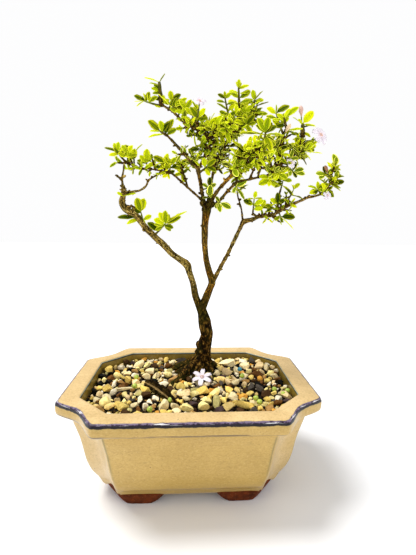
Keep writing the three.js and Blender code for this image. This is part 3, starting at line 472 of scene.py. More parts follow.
# %% Material and group helpers
def start_material(name):
    """Puts a new material's tree on the bench; gives the material and its Principled shader."""
    global bench
    material = bpy.data.materials.new(name)
    material.use_nodes = True
    bench = material.node_tree
    return material, bench.nodes["Principled BSDF"]


def feed(shader, **feeds):
    """Feeds a shader's sockets; base_color stands for Base Color."""
    connect(shader.inputs, {
        key.replace("_", " ").title().replace("Ior", "IOR"): value for key, value in feeds.items()})


def start_group(name, inputs, outputs):
    """Puts a new shader node group on the bench; gives it, its inputs to read, and its output node."""
    global bench
    bench = bpy.data.node_groups.new(name, "ShaderNodeTree")
    for label, value in inputs.items():
        kind = {3: "NodeSocketVector", 4: "NodeSocketColor"}.get(np.size(value), "NodeSocketFloat")
        bench.interface.new_socket(name=label, in_out="INPUT", socket_type=kind).default_value = value
    for label, kind in outputs.items():
        bench.interface.new_socket(name=label, in_out="OUTPUT", socket_type="NodeSocket" + kind)
    return bench, bench.nodes.new("NodeGroupInput").outputs, bench.nodes.new("NodeGroupOutput")


def finish_group(ends, **values):
    connect(ends.inputs, values)


def use_group(group, **feeds):
    """Places a group in a material with that material's own values."""
    return place_node("Group", feeds, node_tree=group).outputs


# %% [markdown]
# ## Shared effects
#
# Four effects serve many surfaces. Mottle is the slow drift between two colours that fired and
# grown surfaces show. Grit is a fine uneven height. Specks are small scattered spots, as in a glaze
# or on a stone. Furrows follow the grain of wood along and around a branch, and turn with it.

# %% Mottle, grit and specks
mottle, given, ends = start_group(
    "mottle", {"Scale": 0.1, "Contrast": 0.5, "Dark": rgb(0, 0, 0), "Light": rgb(1, 1, 1)},
    {"Color": "Color", "Value": "Float"})
drift = noise_at(object_place(), given["Scale"], detail=5, roughness=0.6)
low = scaled(given["Contrast"], -0.5, 0.5)
high = scaled(given["Contrast"], 0.5, 0.5)
value = sharpen(drift, maths("SUBTRACT", 1, high), maths("SUBTRACT", 1, low))
finish_group(ends, Color=mix(value, given["Dark"], given["Light"]), Value=value)

grit, given, ends = start_group("grit", {"Scale": 1.0, "Sharpness": 0.5}, {"Height": "Float"})
spot = object_place()
soft = noise_at(spot, given["Scale"], detail=4, roughness=0.65)
pitted = cells_at(spot, given["Scale"])
mixed = place_node("Mix", {0: given["Sharpness"], 2: soft, 3: pitted}).outputs[0]
finish_group(ends, Height=mixed)

specks, given, ends = start_group(
    "specks", {"Scale": 0.5, "Size": 0.2, "Share": 0.5}, {"Mask": "Float"})
spot = object_place()
reach = cells_at(spot, given["Scale"])
dot = sharpen(reach, given["Size"], times(given["Size"], 0.6))
chosen = place_node("SeparateColor", {
    "Color": cells_at(spot, given["Scale"], output="Color")}).outputs["Red"]
kept = maths("LESS_THAN", chosen, given["Share"])
finish_group(ends, Mask=times(dot, kept))

# %% Furrows
furrows, given, ends = start_group(
    "furrows", {"Grain": (0, 0, 0), "Across": 4.0, "Along": 0.3}, {"Height": "Float", "Cracks": "Float"})
squeeze = place_node("CombineXYZ", {
    "X": given["Across"], "Y": given["Across"], "Z": given["Along"]}).outputs["Vector"]
laid = place_node("VectorMath", {0: given["Grain"], 1: squeeze}, operation="MULTIPLY").outputs[0]
strands = noise_at(laid, 1.0, detail=6, roughness=0.62)
plates = cells_at(laid, 1.3, feature="DISTANCE_TO_EDGE")
cracks = sharpen(plates, 0.12, 0.0)
height = maths("SUBTRACT", strands, times(cracks, 0.35))
finish_group(ends, Height=height, Cracks=cracks)
print("node groups:", [group.name for group in bpy.data.node_groups])


# %% The effects placed in a material
def mottled(scale, dark, light, contrast=0.5):
    return use_group(mottle, Scale=scale, Contrast=contrast, Dark=dark, Light=light)["Color"]


def gritty(scale, sharpness):
    return use_group(grit, Scale=scale, Sharpness=sharpness)["Height"]


def specked(scale, size, share):
    return use_group(specks, Scale=scale, Size=size, Share=share)["Mask"]


def furrowed(across, along):
    return use_group(furrows, Grain=mark("grain", "Vector"), Across=across, Along=along)

# %% [markdown]
# ## The glazed pot
#
# The pot is slip-cast stoneware: an oblong tray with its corners cut off and hollowed, and a flat
# projecting lip. A box with bevels would miss the hollow corners, so the pot is lofted: one plan
# outline is drawn at many heights, each with its own inset, corner cut and dent, and the outlines
# are joined in rows. Two drains go through the floor.

# %% The pot's plan
RIM_LENGTH = 180
RIM_WIDTH = 142
EDGE_STEPS = (0.9, 2.0)
CORNER_POINTS = 16
SIDE_POINTS = 15
SOFTENING = 3
RIM_CUT = 31


def shares_along(length, count):
    """Even shares of a line, with a few close to each end to shape the rounded arris."""
    near = [step / length for step in EDGE_STEPS]
    return np.concatenate([[0], near, np.linspace(0, 1, count)[1:-1], 1 - np.array(near[::-1]), [1]])


CORNER_SHARES = shares_along(RIM_CUT * math.sqrt(2), CORNER_POINTS)


def corner_line(half_length, half_width, cut, dent):
    """One hollowed corner, from the long end to the long side."""
    s = CORNER_SHARES
    inward = dent * np.sin(np.pi * s) ** 2 * math.sqrt(0.5)
    return np.stack([half_length - cut * s - inward, half_width - cut * (1 - s) - inward], axis=1)


def between(start, end):
    """Points along a straight side, without its two ends."""
    shares = shares_along(np.linalg.norm(end - start), SIDE_POINTS)[1:-1]
    return start + shares[:, None] * (end - start)


def near_arris(beside):
    """1 on the arrises of an outline, where a hollow corner meets a flat side; a share beside them."""
    corner = [1, beside] + [0] * (CORNER_POINTS + 2 * len(EDGE_STEPS) - 4) + [beside, 1]
    side = [beside] + [0] * (SIDE_POINTS + 2 * len(EDGE_STEPS) - 4) + [beside]
    return np.array((corner + side) * 4, float)


def hollow_depth():
    """How deep each point of an outline lies in a hollow corner, 0 to 1."""
    side = [0.0] * (SIDE_POINTS + 2 * len(EDGE_STEPS) - 2)
    return np.array((list(np.sin(np.pi * CORNER_SHARES)) + side) * 4)


def pot_outline(inset, cut, dent, height):
    """The pot's outline at one height, counter-clockwise, starting at the right-hand back corner."""
    corner = corner_line(RIM_LENGTH / 2 - inset, RIM_WIDTH / 2 - inset, cut, dent)
    flip = corner[::-1]
    corners = [corner, flip * [-1, 1], corner * [-1, -1], flip * [1, -1]]
    plan = []
    for here, after in zip(corners, corners[1:] + corners[:1]):
        plan += [here, between(here[-1], after[0])]
    plan = np.concatenate(plan)
    for _ in range(SOFTENING):
        middle = (np.roll(plan, 1, axis=0) + np.roll(plan, -1, axis=0)) / 2
        plan = plan + 0.5 * near_arris(1)[:, None] * (middle - plan)
    return np.column_stack([plan, np.full(len(plan), float(height))])


print("each outline has", len(pot_outline(0, 31, 4, 0)), "points")

# %% [markdown]
# The profile runs from foot to rim: inset from the rim's outline, corner cut, corner dent, height.
# The belly is a smooth line through a few rows. The lip is drawn row by row, because its rounded
# edges are where the glaze runs thin and the dark body shows. Each of its rows also says how much
# of that break it carries, and how far it lies on the flat rim, whose paler colour is painted light.

# %% The pot's profile
BELLY = [
    [29.3, 11.3, 1.2, 6.4], [27.2, 13.5, 1.6, 8.6], [25, 16, 2, 12.4], [19.5, 22.3, 3, 18],
    [16.8, 23, 3.6, 27], [15.4, 23, 4, 36], [13.5, 24, 4, 45], [10.6, 25.9, 4, 54], [9.6, 26.3, 4, 58],
    [9.1, 26.6, 4, 60],
]
# inset, cut, dent, height, glaze break, flat rim
LIP = [
    [8.6, 26.9, 4, 61.2, 0, 0], [7.6, 27.4, 4, 62.3, 0, 0], [6, 28.1, 4, 63.1, 0, 0],
    [4, 29.1, 4, 63.6, 0.1, 0], [2.4, 29.9, 4, 64, 0.42, 0], [1.2, 30.5, 4, 64.6, 0.3, 0],
    [0.5, 30.8, 4, 65.5, 0, 0], [0.1, 31, 4, 67, 0, 0], [0, 31, 4, 69.4, 0, 0], [0, 31, 4, 70.9, 0.15, 0],
    [0.08, 31, 4, 71.8, 0.6, 0], [0.3, 30.9, 4, 72.6, 1, 0], [0.7, 30.7, 4, 73.3, 1, 0.1],
    [1.3, 30.4, 4, 73.7, 0.7, 0.6], [2.1, 30, 3.9, 73.92, 0.2, 1], [3.2, 29.4, 3.5, 74, 0, 1],
    [6, 27.9, 2.6, 74, 0, 1], [9, 26.2, 1.6, 74, 0, 1], [12, 24.6, 0.8, 73.98, 0, 1],
    [13.7, 23.7, 0.3, 73.85, 0, 1], [14.4, 23.3, 0.1, 73.55, 0.2, 0.6], [14.8, 23.1, 0, 73, 0.75, 0.2],
    [14.95, 23, 0, 72.4, 0.6, 0], [15.05, 23, 0, 71.6, 0, 0], [15.3, 23, 0, 66, 0, 0],
    [15.3, 23, 0, 60, 0, 0],
]
INSIDE = [[19.5, 19.5, 0, 45], [22.8, 18, 0, 27], [26.5, 15, 0, 18], [31, 12, 0, 13.5]]

belly_rows = smooth_line(BELLY, 1.6)
profile = [[*row, 0, 0] for row in belly_rows] + LIP + [[*row, 0, 0] for row in INSIDE]
print("the profile has", len(profile), "rows")

# %% [markdown]
# Hand-finished clay is never quite true, so the outer wall drifts in and out by a fraction of a
# millimetre. A Boolean could cut the two drain holes but may disturb the marks, so the floor around
# two circles is filled with triangles instead.

# %% Lofting the pot
INNER_EDGE_ROW, INNER_LIP_ROW = 17, 21
LIP_FOOT_ROWS, HEM_ROWS = 4, 2
DRAIN_RADIUS = 6.5
DRAIN_SPACING = 64
DRAIN_POINTS = 32
FLOOR_HEIGHTS = (6.4, 13.5)
WALL_DRIFT, DRIFT_SCALE = 0.35, 0.045
WALL_REACH = 80
CORNER_LIFT = 3.2
LIFTED_BELOW = 19


def pot_rings():
    """The pot's outlines row by row, raised under the hollow corners and a little uneven."""
    rings = [pot_outline(*row[:4]) for row in profile]
    raised = np.maximum(hollow_depth() ** 0.7, 0.45 * near_arris(0.8))
    for row, ring in zip(belly_rows, rings):
        ring[:, 2] += CORNER_LIFT * progress(row[3], LIFTED_BELOW, BELLY[0][3]) ** 1.5 * raised
    for row, ring in zip(profile, rings):
        if row[3] < LIP[0][3]:
            for point in ring:
                point[:2] *= 1 + WALL_DRIFT / WALL_REACH * noise.noise(Vector(point) * DRIFT_SCALE)
    return rings


def drained_floor(points, ring, holes, upward):
    """Triangles between a ring of the pot and two drain holes, all given by their points' numbers."""
    loops = [[Vector((*points[i][:2], 0)) for i in loop] for loop in (ring, *holes)]
    index = [*ring, *holes[0], *holes[1]]
    faces = []
    for corners in geometry.tessellate_polygon(loops):
        a, b, c = (index[i] for i in corners)
        rising = np.cross(points[b] - points[a], points[c] - points[a])[2] > 0
        faces.append([a, b, c] if rising == upward else [a, c, b])
    return faces


def loft_pot(heap):
    rings = pot_rings()
    width = len(rings[0])
    faces = [list(face) for face in grid_faces(len(rings), width, closed=True)]
    points = np.concatenate(rings)
    turn = 2 * np.pi * np.arange(DRAIN_POINTS) / DRAIN_POINTS
    holes = []
    for height in FLOOR_HEIGHTS:
        for side in (-1, 1):
            circle = DRAIN_RADIUS * np.stack([np.cos(turn), np.sin(turn)], axis=1)
            circle += [side * DRAIN_SPACING / 2, 0]
            holes.append(range(len(points), len(points) + DRAIN_POINTS))
            points = np.vstack([points, np.column_stack([circle, np.full(DRAIN_POINTS, height)])])
    last_ring = (len(rings) - 1) * width
    faces += drained_floor(points, range(width), holes[:2], False)
    faces += drained_floor(points, range(last_ring, last_ring + width), holes[2:], True)
    for below, above in zip(holes[:2], holes[2:]):
        for i in range(DRAIN_POINTS):
            after = (i + 1) % DRAIN_POINTS
            faces.append([below[after], below[i], above[i], above[after]])

    def to_points(of_row, of_column=np.ones(width)):
        """A mark from a value for each row and one for each column; the drains have none."""
        values = np.outer(of_row, of_column).ravel().astype(float)
        return np.concatenate([values, np.zeros(len(points) - len(values))])

    row = np.arange(len(profile))
    belly, lip = row < len(belly_rows) + LIP_FOOT_ROWS, row - len(belly_rows)
    heap.add(points, faces, glaze_break=to_points([r[4] for r in profile]),
             flat_rim=to_points([r[5] for r in profile]), arris=to_points(belly, near_arris(0.25)),
             hollow=to_points(belly, hollow_depth()), inner_wall=to_points(lip > INNER_LIP_ROW),
             hem=to_points(row < HEM_ROWS), inner_edge=to_points(lip > INNER_EDGE_ROW))


pot_heap = Heap()
loft_pot(pot_heap)
print("the pot has", pot_heap.count, "points")

# %% [markdown]
# Four cloud feet carry the pot, bare clay, because a glazed foot would stick to the kiln shelf. Each
# foot wraps a corner. Its plan is rounded by cutting its corners twice, and it is lofted from the
# small sole to the larger top with a swelling side.

# %% Cloud feet
FOOT_TOP = [
    [16.6, 44], [17.6, 32], [44, 31], [46, 12], [60.6, 11], [60.4, 29.4], [49.8, 41.2], [46, 44]]
FOOT_SOLE = [
    [24.3, 42.4], [25.3, 33], [42.6, 31.6], [47, 19], [56, 18.4], [55.6, 27], [48, 37.6], [42.7, 42.2]]
FOOT_ROWS = 9
FOOT_REACH = 8.0
FOOT_NECK = 11.0
CORNER_SHARE = 0.14


def rounded_plan(plan):
    """Cuts every corner of a plan, twice over."""
    plan = np.array(plan, float)
    for _ in range(2):
        after = np.roll(plan, -1, axis=0)
        step = CORNER_SHARE * (after - plan)
        plan = np.stack([plan + step, after - step], axis=1).reshape(-1, 2)
    return plan


def add_feet(heap, finish):
    sole, top = rounded_plan(FOOT_SOLE), rounded_plan(FOOT_TOP)
    middle, width = sole.mean(axis=0), len(sole)
    for sx, sy in ((-1, -1), (-1, 1), (1, -1), (1, 1)):
        rows = []
        for share in np.arange(FOOT_ROWS) / (FOOT_ROWS - 1):
            swell = share ** 1.25 + 0.12 * math.sin(math.pi * share)
            tuck = 1 - 0.035 * (1 - share) ** 8
            plan = (sole + swell * (top - sole) - middle) * tuck + middle
            rows.append(np.column_stack([plan * [sx, sy], np.full(width, share * FOOT_REACH)]))
        neck = (top - middle) * 0.985 + middle
        rows.append(np.column_stack([neck * [sx, sy], np.full(width, FOOT_NECK)]))
        faces = [list(face) for face in grid_faces(len(rows), width, closed=True)]
        faces += [list(range(width))[::-1], list(range((len(rows) - 1) * width, len(rows) * width))]
        if sx * sy > 0:
            faces = [face[::-1] for face in faces]
        heap.add(np.concatenate(rows), faces, finish)


add_feet(pot_heap, 1)
print("with its feet the pot has", pot_heap.count, "points")

# %% [markdown]
# The glaze is a warm beige. Its flat rim is painted paler, as if lit from above, the darker inner
# wall is painted shade inside the pot, and a cream tone painted in the hollow corners and along the
# bottom edge stands for their highlights. Along the rounded edges it breaks to a blue-black line,
# with white glints painted on it as highlights: the marks of the mesh say where, and noise makes the
# line wander. Specks, pits and faint drag lines finish it, and two thin dark lines painted under
# the lip stand for the shade of its overhang. The shader is plain, with a clear coat for the gloss.

# %% Colours of the glaze
# the heights between which an effect comes in
BELLY_PAINTED_SHADE, RIDGE_RISE = (36, 10), (14, 44)
OUTER_EDGE, INNER_EDGE, PAINTED_GLINTS = (71.4, 73.8), (72.2, 73.6), (72.6, 73.2)
# painted shade under the lip's edge: height, the share of the way round that stays whole, strength
LIP_SHADE_LINES = [(65.8, 0.44, 0.95), (64.9, 0.5, 0.8)]

glaze, shader = start_material("speckled_glaze")
spot = object_place()
height_above = parts_of(spot)["Z"]
body = mottled(0.035, rgb(0.47, 0.305, 0.078), rgb(0.545, 0.358, 0.1))
# painted shade: the belly is darkened towards the bottom, where it turns under
body = mix(times(sharpen(height_above, *BELLY_PAINTED_SHADE), 0.7), body, rgb(0.4, 0.255, 0.046))
# painted light: the flat rim's top is made paler, as if lit from above
rim = mottled(0.06, rgb(0.62, 0.42, 0.17), rgb(0.74, 0.52, 0.235))
# painted shade: the inner wall below the rim is darkened to olive, as shade falls inside the pot
painted_inner_shade = mottled(0.09, rgb(0.13, 0.08, 0.006), rgb(0.3, 0.2, 0.025))
cream = mottled(0.08, rgb(0.62, 0.44, 0.2), rgb(0.74, 0.57, 0.33))
# painted highlight: a cream tone in the hollow corners and along the glaze's bottom edge
painted_highlight = times(maths("POWER", mark("hollow"), 0.6), 0.62)
painted_highlight = maths("MAXIMUM", painted_highlight, times(mark("hem"), 0.4))
colour = mix(painted_highlight, body, cream)
colour = mix(mark("flat_rim"), colour, rim)
colour = mix(mark("inner_wall"), colour, painted_inner_shade)
drag = noise_at(object_place((0.05, 0.05, 0.9)), 1.0, detail=4, roughness=0.7)
colour = mix(times(sharpen(drag, 0.52, 0.72), 0.3), colour, rgb(0.33, 0.21, 0.045))
freckle = noise_at(object_place((0.8, 0.8, 1.3)), 0.8, detail=4, roughness=0.75)
colour = mix(times(sharpen(freckle, 0.48, 0.66), 0.34), colour, rgb(0.29, 0.17, 0.03))
colour = mix(times(sharpen(freckle, 0.46, 0.3), 0.22), colour, rgb(0.8, 0.62, 0.3))
iron = specked(0.55, 0.26, 0.33)
colour = mix(times(iron, 0.3), colour, rgb(0.2, 0.11, 0.03))
pits = specked(0.12, 0.06, 0.22)
colour = mix(times(pits, 0.8), colour, rgb(0.06, 0.035, 0.01))

# %% The glaze where it breaks
wander = noise_at(spot, 0.16, detail=5, roughness=0.62)
ridge = times(mark("arris"), sharpen(wander, 0.3, 0.46))
ridge = times(ridge, sharpen(height_above, *RIDGE_RISE))
colour = mix(times(ridge, 0.8), colour, rgb(0.16, 0.14, 0.045))
thin = maths("ADD", mark("glaze_break"), scaled(wander, 1.0, -0.5))
halo = sharpen(thin, 0.08, 0.4)
colour = mix(times(halo, 0.42), colour, rgb(0.22, 0.19, 0.055))
broken = sharpen(thin, 0.3, 0.46)
run = scaled(noise_at(spot, 0.3, detail=4, roughness=0.7), 1.4, -0.7)
run = maths("ADD", run, sharpen(height_above, *OUTER_EDGE))
dark_line = ramp(run, [
    (0.35, 0.003, 0.001, 0.004), (0.68, 0.01, 0.004, 0.014), (0.88, 0.045, 0.024, 0.055),
    (1.0, 0.16, 0.12, 0.19)])
inner_line = ramp(maths("ADD", sharpen(height_above, *INNER_EDGE), scaled(
    noise_at(spot, 0.05, detail=2), 0.8, -0.4)), [
        (0.3, 0.012, 0.012, 0.008), (0.48, 0.05, 0.06, 0.05), (0.66, 0.34, 0.38, 0.3)])
dark_line = mix(maths("GREATER_THAN", mark("inner_edge"), 0.5), dark_line, inner_line)
colour = mix(broken, colour, dark_line)
# painted highlights: white glints along the top of the dark edge line
painted_glint = noise_at(object_place((0.09, 0.09, 1.6)), 1.0, detail=4, roughness=0.7)
painted_glint = times(sharpen(painted_glint, 0.56, 0.62), sharpen(thin, 0.5, 0.8))
painted_glint = times(painted_glint, sharpen(height_above, *PAINTED_GLINTS))
colour = mix(times(painted_glint, 0.85), colour, rgb(0.9, 0.88, 0.88))
# painted shade: two thin, broken dark lines where the lip's edge overhangs the body
for level, start, strength in LIP_SHADE_LINES:
    away = maths("ABSOLUTE", maths("ADD", height_above, -level))
    lip_shade_line = times(sharpen(away, 0.45, 0.2), sharpen(
        noise_at(object_place((0.02, 0.02, 0.3)), 1.0, detail=4), start, start + 0.06))
    colour = mix(times(lip_shade_line, strength), colour, rgb(0.1, 0.075, 0.05))
relief = gritty(0.35, 0.15)
relief = maths("SUBTRACT", relief, times(pits, 0.6))
sheen = scaled(mark("flat_rim"), 0.16, 0.3)
sheen = maths("ADD", sheen, times(wander, 0.1))
gloss = scaled(broken, -0.24, 0.26)
feed(shader, base_color=colour, roughness=sheen, specular_ior_level=0.3, coat_weight=gloss,
     coat_roughness=0.15, normal=bump(relief, 0.25, 0.5))

# %% Clay of the feet
clay, shader = start_material("bare_clay")
colour = mottled(0.25, rgb(0.05, 0.01, 0.002), rgb(0.17, 0.034, 0.007), 0.6)
sand = specked(1.1, 0.3, 0.25)
colour = mix(times(sand, 0.5), colour, rgb(0.36, 0.17, 0.08))
feed(shader, base_color=colour, roughness=0.82, specular_ior_level=0.12,
     normal=bump(gritty(1.4, 0.4), 0.3))

pot_heap.make("glazed_pot", [glaze, clay], "pot_glaze", ["pot"], sharp=50)

# %% [markdown]
# ## Soil and the drainage nets
#
# Dark crumbly soil shows between the stones. A flat sheet would look like a painted floor, so the
# soil's top is a grid lifted by two sizes of noise and closed down to the solid soil body. That
# body and the two plastic nets over the drains keep their own shapes and only get materials.

# %% Soil
SOIL_LEVEL = 64.0
SOIL_FOOT = 60.3
SOIL_STEP = 1.5
HALF_OPENING = np.array([74.4, 55.4])
OPENING_CUT = 23.0


def in_opening(x, y, margin):
    """True inside the pot's mouth, a margin away from its wall."""
    across, back = HALF_OPENING[0] - abs(x), HALF_OPENING[1] - abs(y)
    return (across > margin) & (back > margin) & ((across + back - OPENING_CUT) / math.sqrt(2) > margin)


def soil_crumbs():
    xs = np.arange(-HALF_OPENING[0], HALF_OPENING[0] + SOIL_STEP / 2, SOIL_STEP)
    ys = np.arange(-HALF_OPENING[1], HALF_OPENING[1] + SOIL_STEP / 2, SOIL_STEP)
    top = np.zeros((len(ys), len(xs), 3))
    for j, y in enumerate(ys):
        limit = min(HALF_OPENING[0], HALF_OPENING[0] + HALF_OPENING[1] - OPENING_CUT - abs(y)) - 0.1
        for i, x in enumerate(xs):
            x = x / HALF_OPENING[0] * limit
            place = Vector((x, y, 0))
            rise = 0.9 * noise.noise(place * 0.13) + 0.7 * noise.noise(place * 0.55)
            top[j, i] = x, y, SOIL_LEVEL + rise
    points = np.concatenate([top.reshape(-1, 3), (top * [1, 1, 0] + [0, 0, SOIL_FOOT]).reshape(-1, 3)])
    count = top.shape[0] * top.shape[1]
    upper = grid_faces(len(ys), len(xs))
    rim = ([r * len(xs) for r in range(len(ys))][::-1] + list(range(len(xs)))[1:]
           + [(r + 1) * len(xs) - 1 for r in range(1, len(ys))]
           + [count - 1 - i for i in range(1, len(xs) - 1)])
    sides = [[a, a + count, b + count, b] for a, b in zip(rim, rim[1:] + rim[:1])]
    faces = [list(f) for f in upper] + [[i + count for i in f[::-1]] for f in upper] + sides
    heap = Heap()
    heap.add(points, faces)
    return heap


damp_soil, shader = start_material("damp_soil")
colour = mottled(0.5, rgb(0.004, 0.003, 0.002), rgb(0.035, 0.024, 0.014), 0.7)
crumb = specked(1.2, 0.32, 0.3)
colour = mix(times(crumb, 0.5), colour, rgb(0.12, 0.08, 0.04))
feed(shader, base_color=colour, roughness=0.93, specular_ior_level=0.05,
     normal=bump(gritty(0.9, 0.5), 0.9))
soil_crumbs().make("soil_between_stones", [damp_soil], "soil")

plastic_net, shader = start_material("plastic_net")
colour = mottled(0.8, rgb(0.008, 0.009, 0.01), rgb(0.035, 0.037, 0.042), 0.4)
feed(shader, base_color=colour, roughness=0.55,
     normal=bump(gritty(2.5, 0.2), 0.1))


def refinish(node_name, material):
    """Gives a solid of the model a new material and keeps its shape."""
    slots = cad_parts[node_name].data.materials
    slots.clear()
    slots.append(material)


refinish("soil", damp_soil)
refinish("drainage_mesh_left", plastic_net)
refinish("drainage_mesh_right", plastic_net)

# %% [markdown]
# ## The gravel
#
# Washed pea gravel covers the soil. A texture cannot do this, because the stones overlap, shade
# each other and stand up at the edges. So each is its own small body: a sphere squashed to an oval,
# cut flat by a few planes as broken gravel is, and bent by noise.

# %% One stone
def ball(subdivisions):
    """Points and faces of a sphere of small triangles."""
    mesh = bpy.data.meshes.new("ball")
    sphere = bmesh.new()
    bmesh.ops.create_icosphere(sphere, subdivisions=subdivisions, radius=1)
    sphere.to_mesh(mesh)
    sphere.free()
    points = np.array([v.co[:] for v in mesh.vertices])
    faces = np.array([p.vertices[:] for p in mesh.polygons])
    bpy.data.meshes.remove(mesh)
    return points, faces


FINE_BALL = ball(3)
COARSE_BALL = ball(2)
FINE_ABOVE = 2.6
FACETS = 11
STONE_SEED = 41
chance = np.random.default_rng(STONE_SEED)


def turned(angles):
    """A rotation matrix from three angles."""
    cx, cy, cz = np.cos(angles)
    sx, sy, sz = np.sin(angles)
    about_x = np.array([[1, 0, 0], [0, cx, -sx], [0, sx, cx]])
    about_y = np.array([[cy, 0, sy], [0, 1, 0], [-sy, 0, cy]])
    about_z = np.array([[cz, -sz, 0], [sz, cz, 0], [0, 0, 1]])
    return about_z @ about_y @ about_x


def add_stone(heap, middle, sizes, yaw, pick, tilt=0.35):
    """One stone; pick chooses its kind of rock, between 0 and 1."""
    points, faces = FINE_BALL if max(sizes) > FINE_ABOVE else COARSE_BALL
    points = points.copy()
    for _ in range(FACETS):
        face = unit(chance.normal(size=3))
        depth = chance.uniform(0.42, 0.8)
        points -= np.outer(np.maximum(points @ face - depth, 0), face)
    points *= 1 + 0.18 * np.sin(points @ chance.uniform(-2.4, 2.4, 3) + chance.uniform(0, 6))[:, None]
    points /= np.abs(points).max(axis=0)
    points = points * sizes @ turned([chance.uniform(-tilt, tilt), chance.uniform(-tilt, tilt), yaw]).T
    heap.add(points + middle, faces, stone_kind=pick, stone_shade=chance.uniform())


print("a fine stone has", len(FINE_BALL[1]), "triangles")

# %% [markdown]
# The stones that catch the eye are listed one by one: the big pale slab behind the trunk, the long
# orange one at the front, the yellow ovals. The others are drawn by chance in four sizes, large
# ones first. A stone is kept if it overlaps its neighbours only a little and clears the trunk.

# %% The stones listed one by one
# x, y, height of the middle, half sizes, yaw, kind
CHOSEN_STONES = [
    [34, 41, 69, (9.4, 6, 4.2), 0.1, 0.12], [37, -34, 67.4, (9.4, 3.4, 2.8), -0.25, 0.5],
    [10.4, -28, 67.6, (5, 3.6, 3), 0.1, 0.45], [3.4, -16.6, 67.6, (4.6, 3.6, 3), -0.4, 0.45],
    [17.4, -16, 67.6, (4.8, 3.4, 2.8), 0.3, 0.45], [2, -33, 67.2, (5, 4, 3.4), 0.2, 0.8],
    [-55.3, -36, 67.4, (4.4, 3.4, 2.9), 0.2, 0.27], [-47, -35, 67.8, (5, 4.4, 3.6), 0.1, 0.92],
    [-58.5, -30, 68, (4.8, 4, 3), 0.9, 0.45], [-3.2, -37.6, 67, (5.6, 3, 2.6), -0.3, 0.45],
    [-19, -36, 68, (4.4, 3.8, 4), 0.6, 0.12], [62.9, -28, 67.6, (4.2, 2.6, 3), 0.9, 0.03],
    [54, -20, 68, (5.4, 4.4, 3.4), 0.1, 0.7], [69, -6, 67.6, (2, 1.6, 1.5), 0.1, 0.61],
    [-6.6, 49, 68.4, (5.2, 4, 3.2), 0.1, 0.76], [-46, 42, 67.8, (6, 4.6, 3.4), 0.2, 0.12],
    [-68, 31, 68, (5, 3.4, 2.8), -0.4, 0.5], [19.4, 46, 68, (3.4, 3, 2.6), 0.1, 0.03],
    [-13, 9, 67.4, (7, 4.6, 3.6), 0.2, 0.58], [-49, -8, 67.6, (8.4, 2, 1.4), 0.05, 0.12],
    [13, -2, 67.6, (3.8, 3, 2.6), 0.6, 0.03], [28, 31, 67.4, (4.6, 4, 3), 0.4, 0.27],
    [-33, 27, 67.6, (5, 4, 3), 0.1, 0.2], [36, 3, 67.6, (4.2, 3.4, 2.8), 0.1, 0.12],
    [-31, -36, 67.6, (2.4, 3, 3.6), 0.2, 0.03], [-36, -26, 67.6, (2.6, 3.6, 3.6), 0.5, 0.09],
    [47, 33, 68, (5, 4.4, 3.4), 0.9, 0.12], [22, 20, 67.6, (4, 4.4, 3), 0.9, 0.2],
]
print(len(CHOSEN_STONES), "stones are placed by hand")

# %% Laying the gravel
# smallest and largest radius, how many, tries
THROWS = [(3.5, 4.8, 60, 1800), (2.6, 3.3, 150, 4000), (1.7, 2.4, 260, 6000), (0.9, 1.5, 420, 5000)]
OVERLAP = 0.84
MOUND = 1.6
RIGHT_MOUND, RIGHT_RISE = 2.0, (44, 64)
TRUNK_FOOT = np.array([10.6, 29.0])
TRUNK_CLEARANCE = 7.0


def lay_gravel():
    heap = Heap()
    laid = np.empty((0, 3))
    for x, y, height, sizes, yaw, kind in CHOSEN_STONES:
        add_stone(heap, [x, y, height], sizes, yaw, kind)
        laid = np.vstack([laid, [x, y, math.sqrt(sizes[0] * sizes[1])]])
    for smallest, largest, wanted, tries in THROWS:
        kept = 0
        for _ in range(tries):
            radius = chance.uniform(smallest, largest)
            x, y = chance.uniform(-HALF_OPENING, HALF_OPENING)
            if kept >= wanted or not in_opening(x, y, radius * 0.75):
                continue
            if np.hypot(*(TRUNK_FOOT - [x, y])) < TRUNK_CLEARANCE + radius:
                continue
            gaps = np.hypot(laid[:, 0] - x, laid[:, 1] - y) - OVERLAP * (laid[:, 2] + radius)
            if gaps.min() < 0:
                continue
            laid = np.vstack([laid, [x, y, radius]])
            kept += 1
            sizes = radius * np.array([1.15, chance.uniform(0.68, 0.95), chance.uniform(0.6, 0.9)])
            height = SOIL_LEVEL + 0.5 * radius + chance.uniform(0, 1.6)
            height += MOUND * max(0, y / HALF_OPENING[1]) + RIGHT_MOUND * progress(x, *RIGHT_RISE)
            add_stone(heap, [x, y, height], sizes, chance.uniform(0, 6.3), chance.uniform(), tilt=0.5)
    print(len(laid), "stones")
    return heap


gravel_heap = lay_gravel()

# %% [markdown]
# River gravel is many rocks at once: cream and tan quartz, orange iron-stained pieces, grey slate
# and a few dark ones. One ramp with hard steps turns each stone's kind into its rock. Slow-release
# fertiliser lies among them as small yellow-green beads, and one bead is blue.

# %% Stone colours and fertiliser beads
ROCKS = [
    (0.0, 1.0, 0.94, 0.74), (0.09, 1.0, 0.88, 0.54), (0.22, 0.9, 0.7, 0.28),
    (0.29, 0.98, 0.78, 0.44), (0.38, 0.98, 0.87, 0.38), (0.47, 0.98, 0.73, 0.2),
    (0.53, 0.86, 0.45, 0.08), (0.56, 0.46, 0.27, 0.09), (0.62, 0.18, 0.08, 0.02),
    (0.66, 0.06, 0.03, 0.01), (0.7, 0.52, 0.48, 0.2), (0.75, 0.08, 0.07, 0.06),
    (0.79, 0.07, 0.045, 0.05), (0.82, 0.003, 0.003, 0.002), (0.9, 0.96, 0.77, 0.24),
    (0.95, 0.7, 0.55, 0.16),
]
BEAD_RADIUS, BEAD_HEIGHT = 1.9, 69.6
